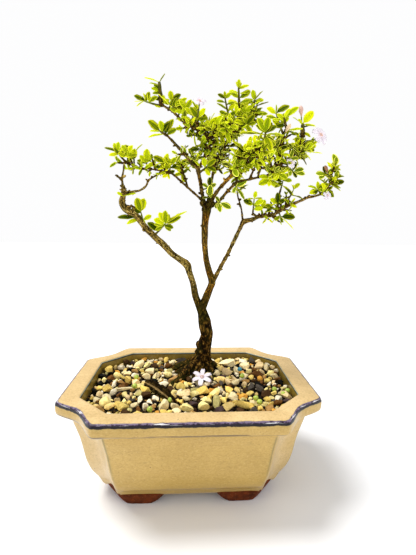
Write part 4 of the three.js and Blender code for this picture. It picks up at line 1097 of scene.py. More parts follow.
# x, y, kind: 0 is yellow-green, 1 is blue
BEADS = [
    [71.5, -19, 0], [62.5, -16, 0], [67, -24, 0], [46, -30, 0], [47.5, -36, 0], [42, 10, 0], [-14, -31, 0],
    [-27, -44, 0], [-42, -7, 0], [-43, 10, 0], [42, 24, 1],
]

mixed_gravel, shader = start_material("mixed_gravel")
colour = ramp(mark("stone_kind"), ROCKS, smooth=False)
colour = dimmed(colour, scaled(mark("stone_shade"), 0.5, 0.74))
veins = mottled(0.6, rgb(0.72, 0.64, 0.52), rgb(1.12, 1.08, 1.0), 0.55)
colour = mix(1.0, colour, veins, mode="MULTIPLY")
grains = specked(1.6, 0.3, 0.2)
colour = mix(times(grains, 0.3), colour, rgb(0.12, 0.08, 0.04))
feed(shader, base_color=colour, roughness=0.55, specular_ior_level=0.06,
     normal=bump(gritty(0.9, 0.3), 0.35))

bead_coat, shader = start_material("fertiliser_beads")
resin = mottled(0.7, rgb(0.26, 0.36, 0.02), rgb(0.58, 0.7, 0.1))
colour = mix(mark("bead_kind"), resin, rgb(0.01, 0.22, 0.32))
feed(shader, base_color=colour, roughness=0.35, coat_weight=0.3,
     normal=bump(gritty(1.2, 0.2), 0.2))

gravel_heap.make("gravel_bed", [mixed_gravel], "gravel", ["gravel"], sharp=24)
beads = Heap()
for x, y, kind in BEADS:
    bead_points = FINE_BALL[0] * (1 + 0.05 * np.sin(FINE_BALL[0] @ [3, 2, 4] + x)[:, None]) * BEAD_RADIUS
    beads.add(bead_points + [x, y, BEAD_HEIGHT], FINE_BALL[1], bead_kind=kind)
beads.make("fertiliser_beads", [bead_coat], "gravel", ["gravel"])

# %% [markdown]
# ## Trunk and branches
#
# The wood is one grown piece: a short thick foot, twisted and knotted, a fork into three limbs, and
# twigs that were pruned and grew again. Each limb is a list of stations, x, y, height and radius.
# Metaballs or skin modifiers could join them, but tubes melted together by a voxel remesh keep the
# measured thickness and still give soft crotches.

# %% Limbs
LIMBS = {
    "trunk": [
        [10.6, 29, 44, 4.6], [10.6, 29, 56, 6], [10.6, 29, 66, 5.4], [10.8, 29, 73, 5], [10.9, 29, 79, 5.5],
        [11.4, 29, 85, 5.8], [12.6, 29.5, 92, 5.3], [13.7, 30, 98, 4.8], [12.9, 30, 104, 5.1],
        [12.2, 30, 110, 4.9], [10.3, 30, 117, 4.1], [8.9, 30, 123, 3.7], [8.2, 30, 127, 2.8],
    ],
    "left": [
        [8.4, 30, 120, 3.05], [4.4, 30, 131, 2.75], [2.2, 29.5, 142, 2.45], [-1.2, 29, 152.5, 2.45],
        [-3, 28.5, 158, 2.95], [-8.7, 28, 162.4, 2.55], [-15, 27, 167, 2.45], [-22, 26, 174.5, 2.45],
        [-28.2, 25, 180.2, 2.4], [-36.3, 23.5, 188.6, 2.4], [-43.4, 22, 197.6, 2.3],
        [-50.5, 20.5, 202, 2.45], [-53.2, 20, 207, 2.4], [-52.3, 20, 212, 2], [-52, 20, 217, 1.8],
        [-52.2, 20, 220, 1.25],
    ],
    "leftWhip": [
        [-52.1, 20, 217, 1.1], [-52.8, 20, 225, 0.9], [-51.6, 20, 232, 0.8], [-51.2, 20, 237, 0.7],
    ],
    "leftSpur": [
        [-52.2, 20, 214.5, 1.2], [-44.5, 18, 215.4, 1], [-39, 17, 216.3, 0.9], [-34.3, 16, 219.5, 0.85],
        [-31.8, 15, 224, 0.8], [-25.7, 14, 227.6, 0.7],
    ],
    "leftHook": [[-52.6, 20, 223, 0.9], [-56.8, 19, 228, 0.7]],
    "leftPeg": [[-50.6, 20.5, 204.5, 1.1], [-44.6, 23, 204, 0.9], [-41, 26, 201.8, 0.8]],
    "middle": [
        [9.6, 30, 119, 3.05], [12.6, 30, 129, 3.05], [16.2, 30, 138, 2.7], [18, 30, 144, 2.9],
        [15.6, 30, 152, 2.45], [12.9, 30, 163, 2.25], [11.6, 30, 174, 2.25], [11.4, 30, 184, 2.5],
        [12, 30, 194, 2.7], [13, 30, 202, 3.4], [13.6, 30, 207.5, 2.5],
    ],
    "right": [
        [17, 30, 141, 2.1], [20.4, 30, 147, 1.85], [24, 30, 154.5, 1.65], [30, 29, 166, 1.6],
        [36, 28, 179, 1.6], [41, 27, 190, 1.65], [43, 27, 193.5, 2], [50, 25, 195.5, 1.6],
        [54.6, 24, 197.5, 1.5], [60.5, 23, 198.3, 1.4], [65, 22, 199, 1.3], [70, 21, 201.5, 1.3],
        [74.5, 20, 205, 1.3], [79, 19, 207, 1.25], [86.6, 18, 210.3, 1.15], [92, 17, 212.7, 1.05],
        [99.5, 16, 214.5, 0.95], [104.3, 15, 217.6, 0.95], [107.4, 15, 222, 0.9], [108.5, 15, 228, 0.8],
        [109.2, 15, 233, 0.7],
    ],
    "rightInner": [[42.4, 27, 192.5, 1], [41.3, 30, 203.6, 0.8], [38.7, 33, 213.7, 0.7]],
    "rightLow": [[54.2, 24, 197, 1], [49.1, 20, 200.2, 0.8]],
    "rightMid": [[68.7, 21, 200.8, 1], [69.7, 22, 208, 0.9], [71, 24, 216.5, 0.8]],
    "rightOuter": [[75.5, 20, 205.4, 1], [77, 17, 212, 0.8]],
    "crownLeft": [
        [12.5, 30, 205, 1.4], [8.3, 30.5, 211, 1.1], [-2.3, 32, 220.4, 1], [-14.4, 34, 231, 0.9],
        [-20, 35, 233, 0.85], [-31, 36, 235, 0.75], [-44, 37, 236.7, 0.7], [-52, 37, 240, 0.7],
    ],
    "crownLeftFork": [[-2.7, 32, 220.4, 0.95], [-4.4, 36, 227.5, 0.85], [-8, 40, 237, 0.75]],
    "crownStem": [
        [12.6, 30, 204, 1.8], [9.9, 29.5, 212.4, 1.5], [7.5, 27, 225, 1.45], [5.5, 25, 235.5, 1.35],
    ],
    "crownForward": [[5.6, 25, 234, 1.2], [-5, 20, 244, 1.2], [-12, 16, 251, 1.1], [-18.5, 13, 256.7, 0.9]],
    "crownRise": [
        [5.8, 25, 234.5, 1.3], [9.4, 25, 241, 1.2], [13, 24, 246.4, 1.2], [14.3, 23, 252, 1.15],
        [15.5, 22, 258.5, 1.2],
    ],
    "crownReach": [
        [15.5, 22, 257.5, 1.2], [9.2, 22.5, 261, 1.2], [3, 23, 264, 1.1], [-2.5, 24, 267, 1.1],
        [-7.6, 25, 271, 1.05], [-14.8, 27, 277.7, 0.95], [-23, 28, 282.4, 0.95],
    ],
    "crownBloomTwig": [[3.4, 23, 263.8, 0.9], [5, 20, 268, 0.8]],
    "crownInner": [
        [15.3, 22, 257.6, 1.05], [20.6, 20, 260, 0.95], [26.6, 18, 261.6, 0.9], [30, 16, 264, 0.8],
    ],
    "back": [
        [13.4, 31, 205, 1.6], [15.7, 34, 219, 1.2], [17.4, 37, 227.5, 1.15], [20, 40, 240, 1.15],
        [26, 43, 251, 1.1], [32.7, 46, 262, 1], [39.5, 48, 274, 0.95], [40.8, 50, 285, 0.85],
    ],
    "backTwin": [[32.4, 46, 261.6, 0.95], [33, 43, 272, 0.85]],
    "backRight": [[40.2, 48.5, 276.5, 0.95], [48, 50, 280, 0.85], [55, 52, 285.5, 0.75]],
    "front": [
        [13.8, 29.5, 205, 1.6], [21, 23, 217.3, 1.45], [28.4, 17, 225.6, 1.45], [35, 11, 233.5, 1.3],
        [39.3, 6, 238.4, 1.25], [44.2, 1, 240, 1.05], [50.4, -4, 243.7, 0.8],
    ],
    "side": [
        [14, 30, 204, 1.5], [21.7, 28, 208.6, 1.25], [28, 26, 216, 1.2], [33.2, 25, 221.5, 1.2],
        [35.7, 24, 224, 1.25], [46, 22, 226.5, 1.05], [52.7, 21, 228, 0.95], [61, 20, 230, 0.9],
        [68, 20, 236, 0.9], [77, 20, 243, 0.9], [84, 20, 248.4, 0.8], [86.8, 20, 254, 0.75],
        [86.6, 20, 260, 0.7],
    ],
    "sideInner": [[35.8, 24.2, 224.2, 1.1], [37.3, 28, 233.6, 0.9]],
    "sideUpper": [[46, 22, 226.5, 1], [49.3, 20, 234.6, 0.8]],
    "sideTall": [[61, 20, 230, 0.95], [66, 15, 241, 0.85], [68, 12, 254, 0.75], [71.5, 10, 264, 0.75]],
    "rearLeft": [[9.2, 29.4, 214, 1.1], [7, 40, 228, 1.05], [4.4, 52, 240, 0.9], [2.6, 60, 248, 0.7]],
    "rearMid": [[17.2, 37, 227, 1.1], [20, 50, 240, 0.95], [22, 62, 252, 0.8]],
    "rearRight": [[52.7, 21, 228, 0.95], [57, 36, 238, 0.95], [62, 50, 250, 0.9], [64, 60, 258, 0.7]],
}
print(len(LIMBS), "limbs")

# %% Knots and roots
# x, y, height, radius
KNOTS = [
    (7.2, 26.5, 91, 3.0), (16.4, 27.6, 97, 2.6), (-3.8, 27.8, 159.4, 2.8), (-36.8, 21.6, 186.6, 1.7),
    (11, 27.6, 203, 2.6), (9, 26, 80, 3.2), (14.5, 27, 88, 3.1), (11, 26.2, 106, 2.6), (13.6, 31, 206, 3.7),
    (17.4, 28, 142, 2.4), (36, 24, 224, 1.5), (42.6, 27, 193.2, 2.1), (-1.6, 27.4, 154.5, 2.7),
    (9.6, 28, 208, 2.6), (16.5, 28.5, 209, 2.5), (6.5, 28, 84, 2.8), (15.8, 28.5, 76, 3.0),
]
ROOTS = [
    [[9, 27.5, 79, 4.4], [3.6, 23, 73.4, 4.2], [-4.4, 15.5, 69.6, 3.6], [-12, 6, 66.6, 2.6],
     [-17, -1, 62, 1.6]],
    [[8.5, 31, 77, 4.4], [-1, 32.5, 71.6, 4.2], [-11, 33.5, 68.6, 3.4], [-20, 34, 64, 2.2]],
    [[10, 26, 76, 3.8], [6, 18, 70, 3.0], [4, 12, 66.4, 2.2], [2, 6, 62, 1.4]],
    [[12.5, 27, 75, 3.8], [18, 21, 68.6, 2.6], [23, 15, 62, 1.6]],
    [[12.5, 32, 75, 4.0], [20, 38, 68.6, 2.8], [27, 43, 62, 1.6]],
    [[6, 25, 76, 3.6], [-2, 24, 70.6, 3.4], [-9, 24, 67.6, 2.6], [-15, 24, 63, 1.8]],
]

# %% [markdown]
# Thin wood swells a little where leaves once stood, and carries the short stubs of pruned twigs. All
# the tubes, stubs, knots and roots go into one mesh, which the voxel remesh turns into one skin.

# %% Melting the wood together
VOXEL = 0.52
NODE_SPACING = 7.0
NODE_REACH = 0.9
STUB_SEED = 1300
STUBS_PER_STATION = 1.4
STUBS_BELOW = 2.6
WOOD_STEP = 0.9
THICK_SIDES, THIN_SIDES, STUB_SIDES = 16, 10, 8
THIN_BELOW = 2.5


def knuckled(rows):
    """Adds the slight swellings of old leaf nodes along thin wood."""
    rows = rows.copy()
    travelled = distance_along(rows[:, :3])
    phase = np.abs((travelled + rows[0, 0]) % NODE_SPACING - NODE_SPACING / 2)
    swell = np.exp(-((phase - NODE_SPACING / 2) / NODE_REACH) ** 2)
    thick, thin = progress(rows[:, 3], 1.2, 2.2), progress(rows[:, 3], 2.4, 1.4)
    rows[:, 3] *= 0.95 + 0.11 * thick + 0.24 * swell * thin
    return rows


def stubs_on(stations, seed):
    """Short dead stubs left by pruning, a few on each thin limb."""
    draw = draws_from(seed)
    stubs = []
    for k in range(int(len(stations) * STUBS_PER_STATION)):
        place, along, radius = point_on(stations, draw() * (len(stations) - 1.01))
        if radius > STUBS_BELOW:
            continue
        side = spun(unit(np.cross(along, [0.3, 0.2, 0.9])), along, k * GOLDEN_ANGLE)
        way = unit(side + 0.5 * along)
        reach = way * (radius + 0.8 + 2.2 * draw() ** 2)
        thick = 0.55 + 0.35 * draw()
        stubs.append([[*(place + reach * s), thick * t] for s, t in ((0, 1), (0.7, 1.1), (1, 0.8))])
    return stubs


wood_lines = [knuckled(smooth_line(stations, WOOD_STEP)) for stations in LIMBS.values()]
wood_lines += [smooth_line(stations, WOOD_STEP) for stations in ROOTS]
stub_lines = [
    stub for seed, stations in enumerate(LIMBS.values(), STUB_SEED) for stub in stubs_on(stations, seed)]
raw_wood = Heap()
for rows in wood_lines:
    raw_wood.add(*tube(rows, THICK_SIDES if rows[0, 3] > THIN_BELOW else THIN_SIDES)[:2])
for stub in stub_lines:
    raw_wood.add(*tube(stub, STUB_SIDES)[:2])
for x, y, z, radius in KNOTS:
    raw_wood.add(COARSE_BALL[0] * radius * [1, 0.8, 1.15] + [x, y, z], COARSE_BALL[1].tolist())
wood_piece = raw_wood.make("trunk_and_branches", [], "bark", ["trunk"])
remesh = wood_piece.modifiers.new("melt", "REMESH")
remesh.mode = "VOXEL"
remesh.voxel_size = VOXEL * MM
melted = wood_piece.evaluated_get(bpy.context.evaluated_depsgraph_get())
shaped = bpy.data.meshes.new_from_object(melted)
wood_piece.modifiers.clear()
wood_piece.data = shaped
print("the melted wood has", len(shaped.vertices), "points")

# %% [markdown]
# After the remesh no point knows which limb it lies on. A search tree over the middle lines tells
# it again: the nearest line point gives the limb, the distance travelled and the angle around.
# With those, bark is pushed in and out along the grain, coarse on old wood and fine on twigs.

# %% Bark relief
# How grey, how warm and how rugged the bark of each limb is, 0 to 1.
LIMB_LOOKS = {
    "trunk": (0.02, 0.3, 1.0), "left": (0.85, 0.3, 0.5), "leftWhip": (0.5, 0.3, 0.3),
    "leftSpur": (0.5, 0.3, 0.3), "middle": (0.2, 1.0, 0.6), "right": (0.62, 0.5, 0.35),
    "front": (0.5, 1.0, 0.4), "crownStem": (0.25, 0.7, 0.4), "side": (0.3, 0.6, 0.35),
    "back": (0.2, 0.5, 0.35),
}
DEFAULT_LOOK = (0.25, 0.35, 0.3)
# Painted shade: the bark is darkened nearly to black where the branches spring together, and in a band
# around the first fork.
WHORL, WHORL_REACH = (14, 29, 208), 15
FORK_BAND = ((104, 114), (158, 118))
# the heights between which the rugged foot fades out and the grey comes in
RUGGED_FOOT, GREY_RISE = (104, 64), (122, 156)
LARGEST_GIRTH = 5.0

line_points, line_info = [], []
line_names = list(LIMBS) + ["trunk"] * len(ROOTS)
for index, (name, rows) in enumerate(zip(line_names, wood_lines)):
    along, across, over = ring_axes(rows[:, :3])
    travelled = distance_along(rows[:, :3])
    look = LIMB_LOOKS.get(name, DEFAULT_LOOK)
    for i in range(len(rows)):
        line_points.append(rows[i, :3])
        line_info.append((index, travelled[i], rows[i, 3], across[i], over[i], along[i], look))
search = kdtree.KDTree(len(line_points))
for i, point in enumerate(line_points):
    search.insert(point, i)
search.balance()


def carve_bark(mesh):
    """Moves the points of the melted wood and gives each its grain and its look."""
    count = len(mesh.vertices)
    places = np.zeros(count * 3)
    mesh.vertices.foreach_get("co", places)
    places = places.reshape(-1, 3) / MM - POT_MIDDLE
    grain, looks = np.zeros((count, 3)), np.zeros((count, 3))
    for i, place in enumerate(places):
        _, nearest, _ = search.find(place)
        index, travelled, radius, across, over, along, look = line_info[nearest]
        spoke = place - line_points[nearest]
        spoke -= along * (spoke @ along)
        distance = max(np.linalg.norm(spoke), 0.05)
        spoke /= distance
        x, y = spoke @ across, spoke @ over
        girth, rough = min(radius, LARGEST_GIRTH), look[2]
        thick = Vector((x * 1.1 + index * 7, y * 1.1, travelled * 0.07))
        fine = Vector((x * 2.6, y * 2.6 + index * 3, travelled * 0.16))
        push = girth * (0.2 * rough * noise.noise(thick) + 0.14 * rough * noise.noise(fine))
        push += 0.1 * noise.noise(Vector(place) * 0.9)
        places[i] = place + spoke * push
        grain[i] = x * girth + index * 11, y * girth, travelled
        base = progress(place[2], *RUGGED_FOOT) if line_names[index] == "trunk" else 0
        grey = look[0] * (1 - base) * max(0.1, progress(place[2], *GREY_RISE))
        looks[i] = grey, look[1] * (1 - 0.6 * base), max(look[2], base)
    crotch_painted_shade = np.clip(1 - np.linalg.norm(places - WHORL, axis=1) / WHORL_REACH, 0, 1)
    rising, falling = (progress(places[:, 2], *limits) for limits in FORK_BAND)
    crotch_painted_shade = np.maximum(crotch_painted_shade, 0.5 * rising * falling)
    mesh.attributes.new("crotch_painted_shade", "FLOAT", "POINT").data.foreach_set("value", crotch_painted_shade)
    mesh.vertices.foreach_set("co", ((places + POT_MIDDLE) * MM).ravel())
    for label, values in (("grain", grain), ("wood_look", looks)):
        mesh.attributes.new(label, "FLOAT_VECTOR", "POINT").data.foreach_set("vector", values.ravel())
    mesh.update()
    mesh.shade_smooth()


carve_bark(shaped)
print("bark carved")

# %% [markdown]
# Serissa bark starts green-brown on the shoots, turns warm brown on young limbs and weathers to
# grey-tan, and the old foot is nearly black between its ridges. The material mixes those from the
# looks of each limb, darkens the cracks, and lets moss creep up at the roots.

# %% Bark materials
def bark_colour(across, along):
    """Colour and furrows of bark, and the three parts of its look."""
    parts = parts_of(mark("wood_look", "Vector"))
    lines = furrowed(across, along)
    plain, grey, warm = (ramp(lines["Height"], BANDS[band]) for band in ("plain", "grey", "warm"))
    colour = mix(parts["X"], plain, grey)
    patch = sharpen(noise_at(object_place(), 0.11, detail=3), 0.35, 0.6)
    colour = mix(times(parts["Y"], patch), colour, warm)
    return colour, lines, parts


BANDS = {
    "plain": [(0.34, 0.006, 0.003, 0.001), (0.47, 0.05, 0.025, 0.005),
              (0.58, 0.23, 0.125, 0.016), (0.7, 0.54, 0.35, 0.065)],
    "grey": [(0.34, 0.04, 0.027, 0.006), (0.46, 0.26, 0.185, 0.04),
             (0.55, 0.6, 0.44, 0.1), (0.66, 0.92, 0.78, 0.31)],
    "warm": [(0.34, 0.02, 0.008, 0.001), (0.47, 0.19, 0.08, 0.008),
             (0.58, 0.52, 0.25, 0.02), (0.7, 0.82, 0.5, 0.07)],
}
bark, shader = start_material("serissa_bark")
colour, lines, parts = bark_colour(1.1, 0.22)
flakes = noise_at(object_place((1, 1, 0.6)), 0.48, detail=5, roughness=0.7)
old = ramp(flakes, [
    (0.4, 0.003, 0.002, 0.001), (0.5, 0.024, 0.012, 0.003), (0.58, 0.15, 0.07, 0.01),
    (0.68, 0.5, 0.29, 0.06)])
colour = mix(sharpen(parts["Z"], 0.55, 1.0), colour, old)
colour = mix(times(lines["Cracks"], 0.55), colour, rgb(0.01, 0.006, 0.003))
height_above = parts_of(object_place())["Z"]
mossy = times(sharpen(height_above, 78, 64),
              sharpen(noise_at(object_place(), 0.25, detail=4), 0.42, 0.6))
colour = mix(times(mossy, 0.75), colour, rgb(0.03, 0.038, 0.006))
algae = sharpen(noise_at(object_place(), 0.1, detail=3), 0.5, 0.6)
spread = scaled(parts["X"], -0.55, scaled(parts["Z"], -0.45, 0.85))
colour = mix(times(algae, spread), colour, rgb(0.045, 0.042, 0.007))
# painted shade: near black where the branches spring together and around the first fork
colour = mix(times(sharpen(mark("crotch_painted_shade"), 0.1, 0.7), 0.9),
             colour, ramp(flakes, [(0.45, 0.003, 0.002, 0.001), (0.62, 0.07, 0.06, 0.006)]))
feed(shader, base_color=colour, roughness=0.86, specular_ior_level=0.02,
     normal=bump(lines["Height"], 0.8, 0.9))
shaped.materials.clear()
shaped.materials.append(bark)
print("the wood wears", bark.name)

young_bark, shader = start_material("young_bark")
lines = furrowed(1.6, 0.3)
colour = ramp(lines["Height"], [
    (0.34, 0.012, 0.006, 0.001), (0.5, 0.06, 0.028, 0.004), (0.66, 0.22, 0.125, 0.02)])
fresh = times(mark("greenness"), 0.85)
colour = mix(fresh, colour, mottled(0.4, rgb(0.13, 0.17, 0.02), rgb(0.33, 0.4, 0.06)))
feed(shader, base_color=colour, roughness=0.7, specular_ior_level=0.04,
     normal=bump(lines["Height"], 0.25, 0.7))

# %% [markdown]
# ## Leaves
#
# A serissa leaf is a small pointed ellipse, folded up along its midrib, with a cream margin and a
# darker heart. It has to be real geometry, because its edge and fold catch the light. One grid is
# bent into every leaf, and each point remembers how far along and across the blade it lies, which
# is all that the colours need.

# %% One leaf
LEAF_THICKNESS = 0.3
FOLD = 0.22
PETIOLE = 0.09
LARGE_LEAF = 8.5


def leaf_pattern(rows, columns):
    """Faces, and shares along and across, of a leaf's grid; rows lie closer together at both ends."""
    shares = (1 - np.cos(np.pi * np.linspace(0, 1, rows))) / 2
    along, across = np.meshgrid(shares, np.linspace(-1, 1, columns), indexing="ij")
    return np.array(sheet_faces(rows, columns)), along, across


LARGE_PATTERN = leaf_pattern(10, 7)
SMALL_PATTERN = leaf_pattern(8, 5)


def leaf_width(share, lean):
    """Half the leaf's width as a share of its largest half width: a blunt ellipse on a short stalk."""
    blade = progress(share, PETIOLE, 1) ** (0.86 + 0.4 * lean)
    oval = np.clip(1 - np.abs(2 * blade - 1) ** 2.3, 0, 1) ** 0.68
    return np.maximum(oval, np.where(share < 0.5, 0.12, 0.03))


def leaf_grid(along, across, length, width, droop, draw):
    """The upper face of one leaf, lying along X with its upper side towards Z."""
    wave, cup, bend = draw(), draw(), draw() - 0.5
    sideways = across * leaf_width(along, draw()) * width / 2
    height = FOLD * (0.6 + 0.8 * cup) * np.abs(sideways) - droop * length * along**2
    height = height + 0.04 * width * np.sin(2 * np.pi * (2.2 * along + wave)) * across**2
    aside = bend * 0.2 * length * along**2
    return np.stack([along * length, sideways + aside, height], axis=-1)


def add_leaf(heap, place, axes, length, width, droop, tone, draw):
    """Adds a leaf at a place, with axes pointing, sideways and facing as rows."""
    faces, along, across = LARGE_PATTERN if length > LARGE_LEAF else SMALL_PATTERN
    upper = leaf_grid(along, across, length, width, droop, draw) @ np.array(axes) + place
    add_sheet(heap, upper, LEAF_THICKNESS * np.array(axes[2]), faces, leaf_along=sheet_marks(along),
              leaf_across=sheet_marks(across), leaf_tone=tone, leaf_draw=draw())


print("a leaf has", 2 * len(LARGE_PATTERN[0]), "or", 2 * len(SMALL_PATTERN[0]), "triangles")

# %% [markdown]
# ## Leafy shoots
#
# Leaves stand in opposite pairs, each a quarter turn round from the one below, on a slightly
# sagging twig. The rule is the one that built the solid model's shoots, so these finer shoots lie
# where those do. The tip carries a pair of very small new leaves.

# %% A shoot
SHORT_OF_END = 1.001
TWIG_SAG, TWIG_ROWS = 0.07, 7
TWIG_ROOT, TWIG_SIDES = 1.2, 7
FIRST_PAIR, LAST_PAIR = 0.3, 0.97
SPREAD, TIP_SPREAD = math.radians(60), math.radians(32)


def on_limb(limb, station):
    """The point, direction and radius at a station of a limb, never quite at its end."""
    return point_on(LIMBS[limb], min(station, len(LIMBS[limb]) - SHORT_OF_END))


def make_twig(start, direction, length, turn):
    way = unit(direction)
    middle = start + way * length / 2 - [0, 0, TWIG_SAG * length]
    return {"bends": (np.array(start), middle, start + way * length), "turn": turn}


def twig_at(twig, share):
    """Place, direction and first side of a twig at a share of its length."""
    a, b, c = twig["bends"]
    place = a * (1 - share) ** 2 + 2 * b * share * (1 - share) + c * share**2
    along = unit((b - a) * (1 - share) + (c - b) * share)
    across = spun(unit(np.cross([0.2, 1, 0], along)), along, twig["turn"])
    return place, along, across


def add_stem(heap, rows, sides, greenness):
    points, faces, grain = tube(rows, sides)
    heap.add(points, faces, 1, grain=grain, greenness=greenness)


def add_twig(heap, twig, thickness, green=1.0):
    shares = np.linspace(0, 1, TWIG_ROWS)
    rows = [[*twig_at(twig, s)[0], thickness * (1 - 0.45 * s) * (1 + 0.18 * (i % 2))]
            for i, s in enumerate(shares)]
    start, along, _ = twig_at(twig, 0)
    rows.insert(0, [*(start - along * TWIG_ROOT), thickness])
    add_stem(heap, rows, TWIG_SIDES, green * np.repeat(np.concatenate([[0], shares]), TWIG_SIDES))


def leaf_axes(twig, share, turn, spread):
    """Where a leaf stands on a twig, and its pointing, sideways and facing axes."""
    place, along, across = twig_at(twig, share)
    outward = spun(across, along, turn)
    pointing = along * math.cos(spread) + outward * math.sin(spread)
    sideways = np.cross(along, outward)
    return place, [pointing, sideways, np.cross(pointing, sideways)]


def add_shoot(heap, twig, pairs, leaf_length, draw, finer, tone, thickness=0.62, green=1.0):
    """A twig with its leaves. draw is the stream shared with the solid model, finer is another."""
    add_twig(heap, twig, thickness, green)
    for pair in range(pairs):
        share = pair / (pairs - 1)
        spread = SPREAD + (TIP_SPREAD - SPREAD) * share * share
        smaller = 0.8 if pair == pairs - 1 else 1
        height = FIRST_PAIR + (LAST_PAIR - FIRST_PAIR) * pair / (pairs - 1)
        for face in (pair % 2, pair % 2 + 2):
            length = leaf_length * smaller * (0.82 + 0.33 * draw())
            jog = (draw() - 0.5) * 0.5
            opened = spread + (draw() - 0.5) * 0.4
            droop = 0.08 + 0.24 * draw()
            place, axes = leaf_axes(twig, height, face * math.pi / 2 + jog, opened)
            width = length * (0.36 + 0.16 * finer())
            add_leaf(heap, place, axes, length, width, droop, tone, finer)
    for face in (0, 2):
        turn = (pairs % 2 + face) * math.pi / 2 + finer()
        place, axes = leaf_axes(twig, 1, turn, 0.35 + 0.2 * finer())
        length = leaf_length * (0.32 + 0.14 * finer())
        add_leaf(heap, place, axes, length, length * 0.36, 0.05, min(1, tone + 0.2), finer)


# %% [markdown]
# The markings are a node group, because two copies of the leaf share them with different colours:
# one painted bright, standing for leaves in the sun, and one painted deep green, standing for leaves
# in shade. The margin follows the edge, made uneven by noise; the heart is a darker, ragged patch
# along the midrib; the veins are a faint herringbone.

# %% Leaf markings
markings, given, ends = start_group(
    "leaf_markings",
    {"Heart": rgb(0.1, 0.2, 0.01), "Blade": rgb(0.3, 0.4, 0.02), "Margin": rgb(0.8, 0.8, 0.4),
     "Margin Width": 0.3, "Heart Size": 0.5},
    {"Color": "Color", "Height": "Float"})
across = maths("ABSOLUTE", mark("leaf_across"))
along = mark("leaf_along")
ragged = noise_at(object_place(), 0.55, detail=3, roughness=0.6)
ragged = scaled(ragged, 0.36, -0.18)
edge = maths("ADD", across, ragged)
tip = times(sharpen(along, 0.86, 1.0), 0.4)
edge = maths("ADD", edge, tip)
inner = maths("SUBTRACT", 1, given["Margin Width"])
margin = sharpen(edge, inner, maths("ADD", inner, 0.08))
middle = times(edge, scaled(along, 0.9, 0.7))
heart = sharpen(middle, given["Heart Size"], maths("SUBTRACT", given["Heart Size"], 0.25))
heart = times(heart, scaled(mark("leaf_draw"), 0.9, 0.1))
colour = mix(heart, given["Blade"], given["Heart"])
slant = scaled(across, -0.35, along)
vein = sharpen(maths("ABSOLUTE", maths("SINE", times(slant, 28))), 0.22, 0)
midrib = sharpen(across, 0.1, 0.02)
colour = mix(times(maths("MAXIMUM", vein, midrib), 0.22), colour, given["Margin"])
colour = mix(margin, colour, given["Margin"])
finish_group(ends, Color=colour,
             Height=maths("SUBTRACT", ragged, maths("MAXIMUM", vein, midrib)))


def leaf_material(name, heart, blade, new_blade, margin, margin_width, heart_size):
    material, shader = start_material(name)
    fresh = mix(mark("leaf_tone"), blade, new_blade)
    look = use_group(markings, **{
        "Heart": heart, "Blade": fresh, "Margin": margin,
        "Margin Width": margin_width, "Heart Size": heart_size})
    # painted light and shade: each leaf is darkened or lightened by a random amount, standing for leaves in
    # shade and leaves catching the light
    shade = scaled(maths("POWER", mark("leaf_draw"), 2.2), -0.94, 1.2)
    colour = dimmed(look["Color"], shade)
    feed(shader, base_color=colour, roughness=0.5, specular_ior_level=0.01,
         normal=bump(look["Height"], 0.12, 0.6))
    return material


# two copies of one leaf: the first is painted bright for leaves in the sun, the second painted deep green
# for leaves in shade
painted_sunlit_leaf = leaf_material(
    "painted_sunlit_leaf", rgb(0.04, 0.13, 0.001), rgb(0.44, 0.57, 0.002), rgb(0.82, 0.84, 0.004),
    rgb(0.95, 0.93, 0.07), 0.24, 0.68)
painted_shaded_leaf = leaf_material(
    "painted_shaded_leaf", rgb(0.006, 0.03, 0.001), rgb(0.07, 0.15, 0.001), rgb(0.34, 0.46, 0.002),
    rgb(0.96, 0.94, 0.12), 0.42, 1.1)
print("leaf materials:", painted_sunlit_leaf.name, "and", painted_shaded_leaf.name)

# %% [markdown]
# These shoots stand for shoots of the solid model and draw with the same seeds, so that each lies
# where its solid does. A second stream of draws gives what the solids leave out: the width of a
# leaf, its ripples and its colour.

# %% The shoots of the solid model
# name, seed, limb, place on it, finish, direction, length, pairs, leaf length
SPRAYS = [
    ("forward_low", 108, "crownForward", 0.5, "bright", [1.2, -1.4, 0.8], 6, 2, 8),
    ("rise_top", 113, "crownRise", 4, "bright", [-0.5, 0, 2.4], 9, 3, 11),
    ("rise_left", 114, "crownRise", 2, "bright", [-2, -0.8, 0.8], 9, 3, 10),
    ("inner_top", 118, "crownInner", 3, "bright", [0.8, -0.6, 2.2], 9, 3, 10),
    ("front_mid", 124, "front", 4, "bright", [0.4, -1.2, 1.6], 8, 3, 12),
    ("front_low", 125, "front", 2.7, "deep", [-0.8, -1.6, 0.6], 7, 2, 10),
    ("side_inner", 127, "sideInner", 1, "bright", [0.2, 0.4, 2], 8, 3, 10),
    ("side_upper", 128, "sideUpper", 1, "bright", [0.8, -0.8, 1.6], 8, 3, 10.5),
    ("tall_low", 134, "sideTall", 1.4, "deep", [-1, -1.6, 0.8], 8, 3, 10.5),
    ("right_inner", 135, "rightInner", 2, "bright", [-0.4, -0.4, 2], 7, 2, 10),
    ("right_out", 138, "rightOuter", 1, "bright", [0.6, -0.8, 1.6], 7, 2, 10),
    ("rear_left", 142, "rearLeft", 3, "deep", [-0.2, 1, 1.6], 7, 2, 10),
    ("rear_mid", 143, "rearMid", 2, "deep", [0, 1, 1.6], 8, 2, 12.5),
    ("rear_right", 144, "rearRight", 3, "deep", [0.6, 1, 1.4], 8, 2, 12.5),
]

# the bright finish is painted sunlight, the deep finish painted shade
LEAF_FINISHES = {"bright": painted_sunlit_leaf, "deep": painted_shaded_leaf}
SECOND_STREAM = 800  # added to a shoot's seed for the draws that its solid doesn't share


def make_shoots(heap, name, tone, stands_for=()):
    heap.make(name, [LEAF_FINISHES[tone], young_bark], f"leaf_{tone}", stands_for)


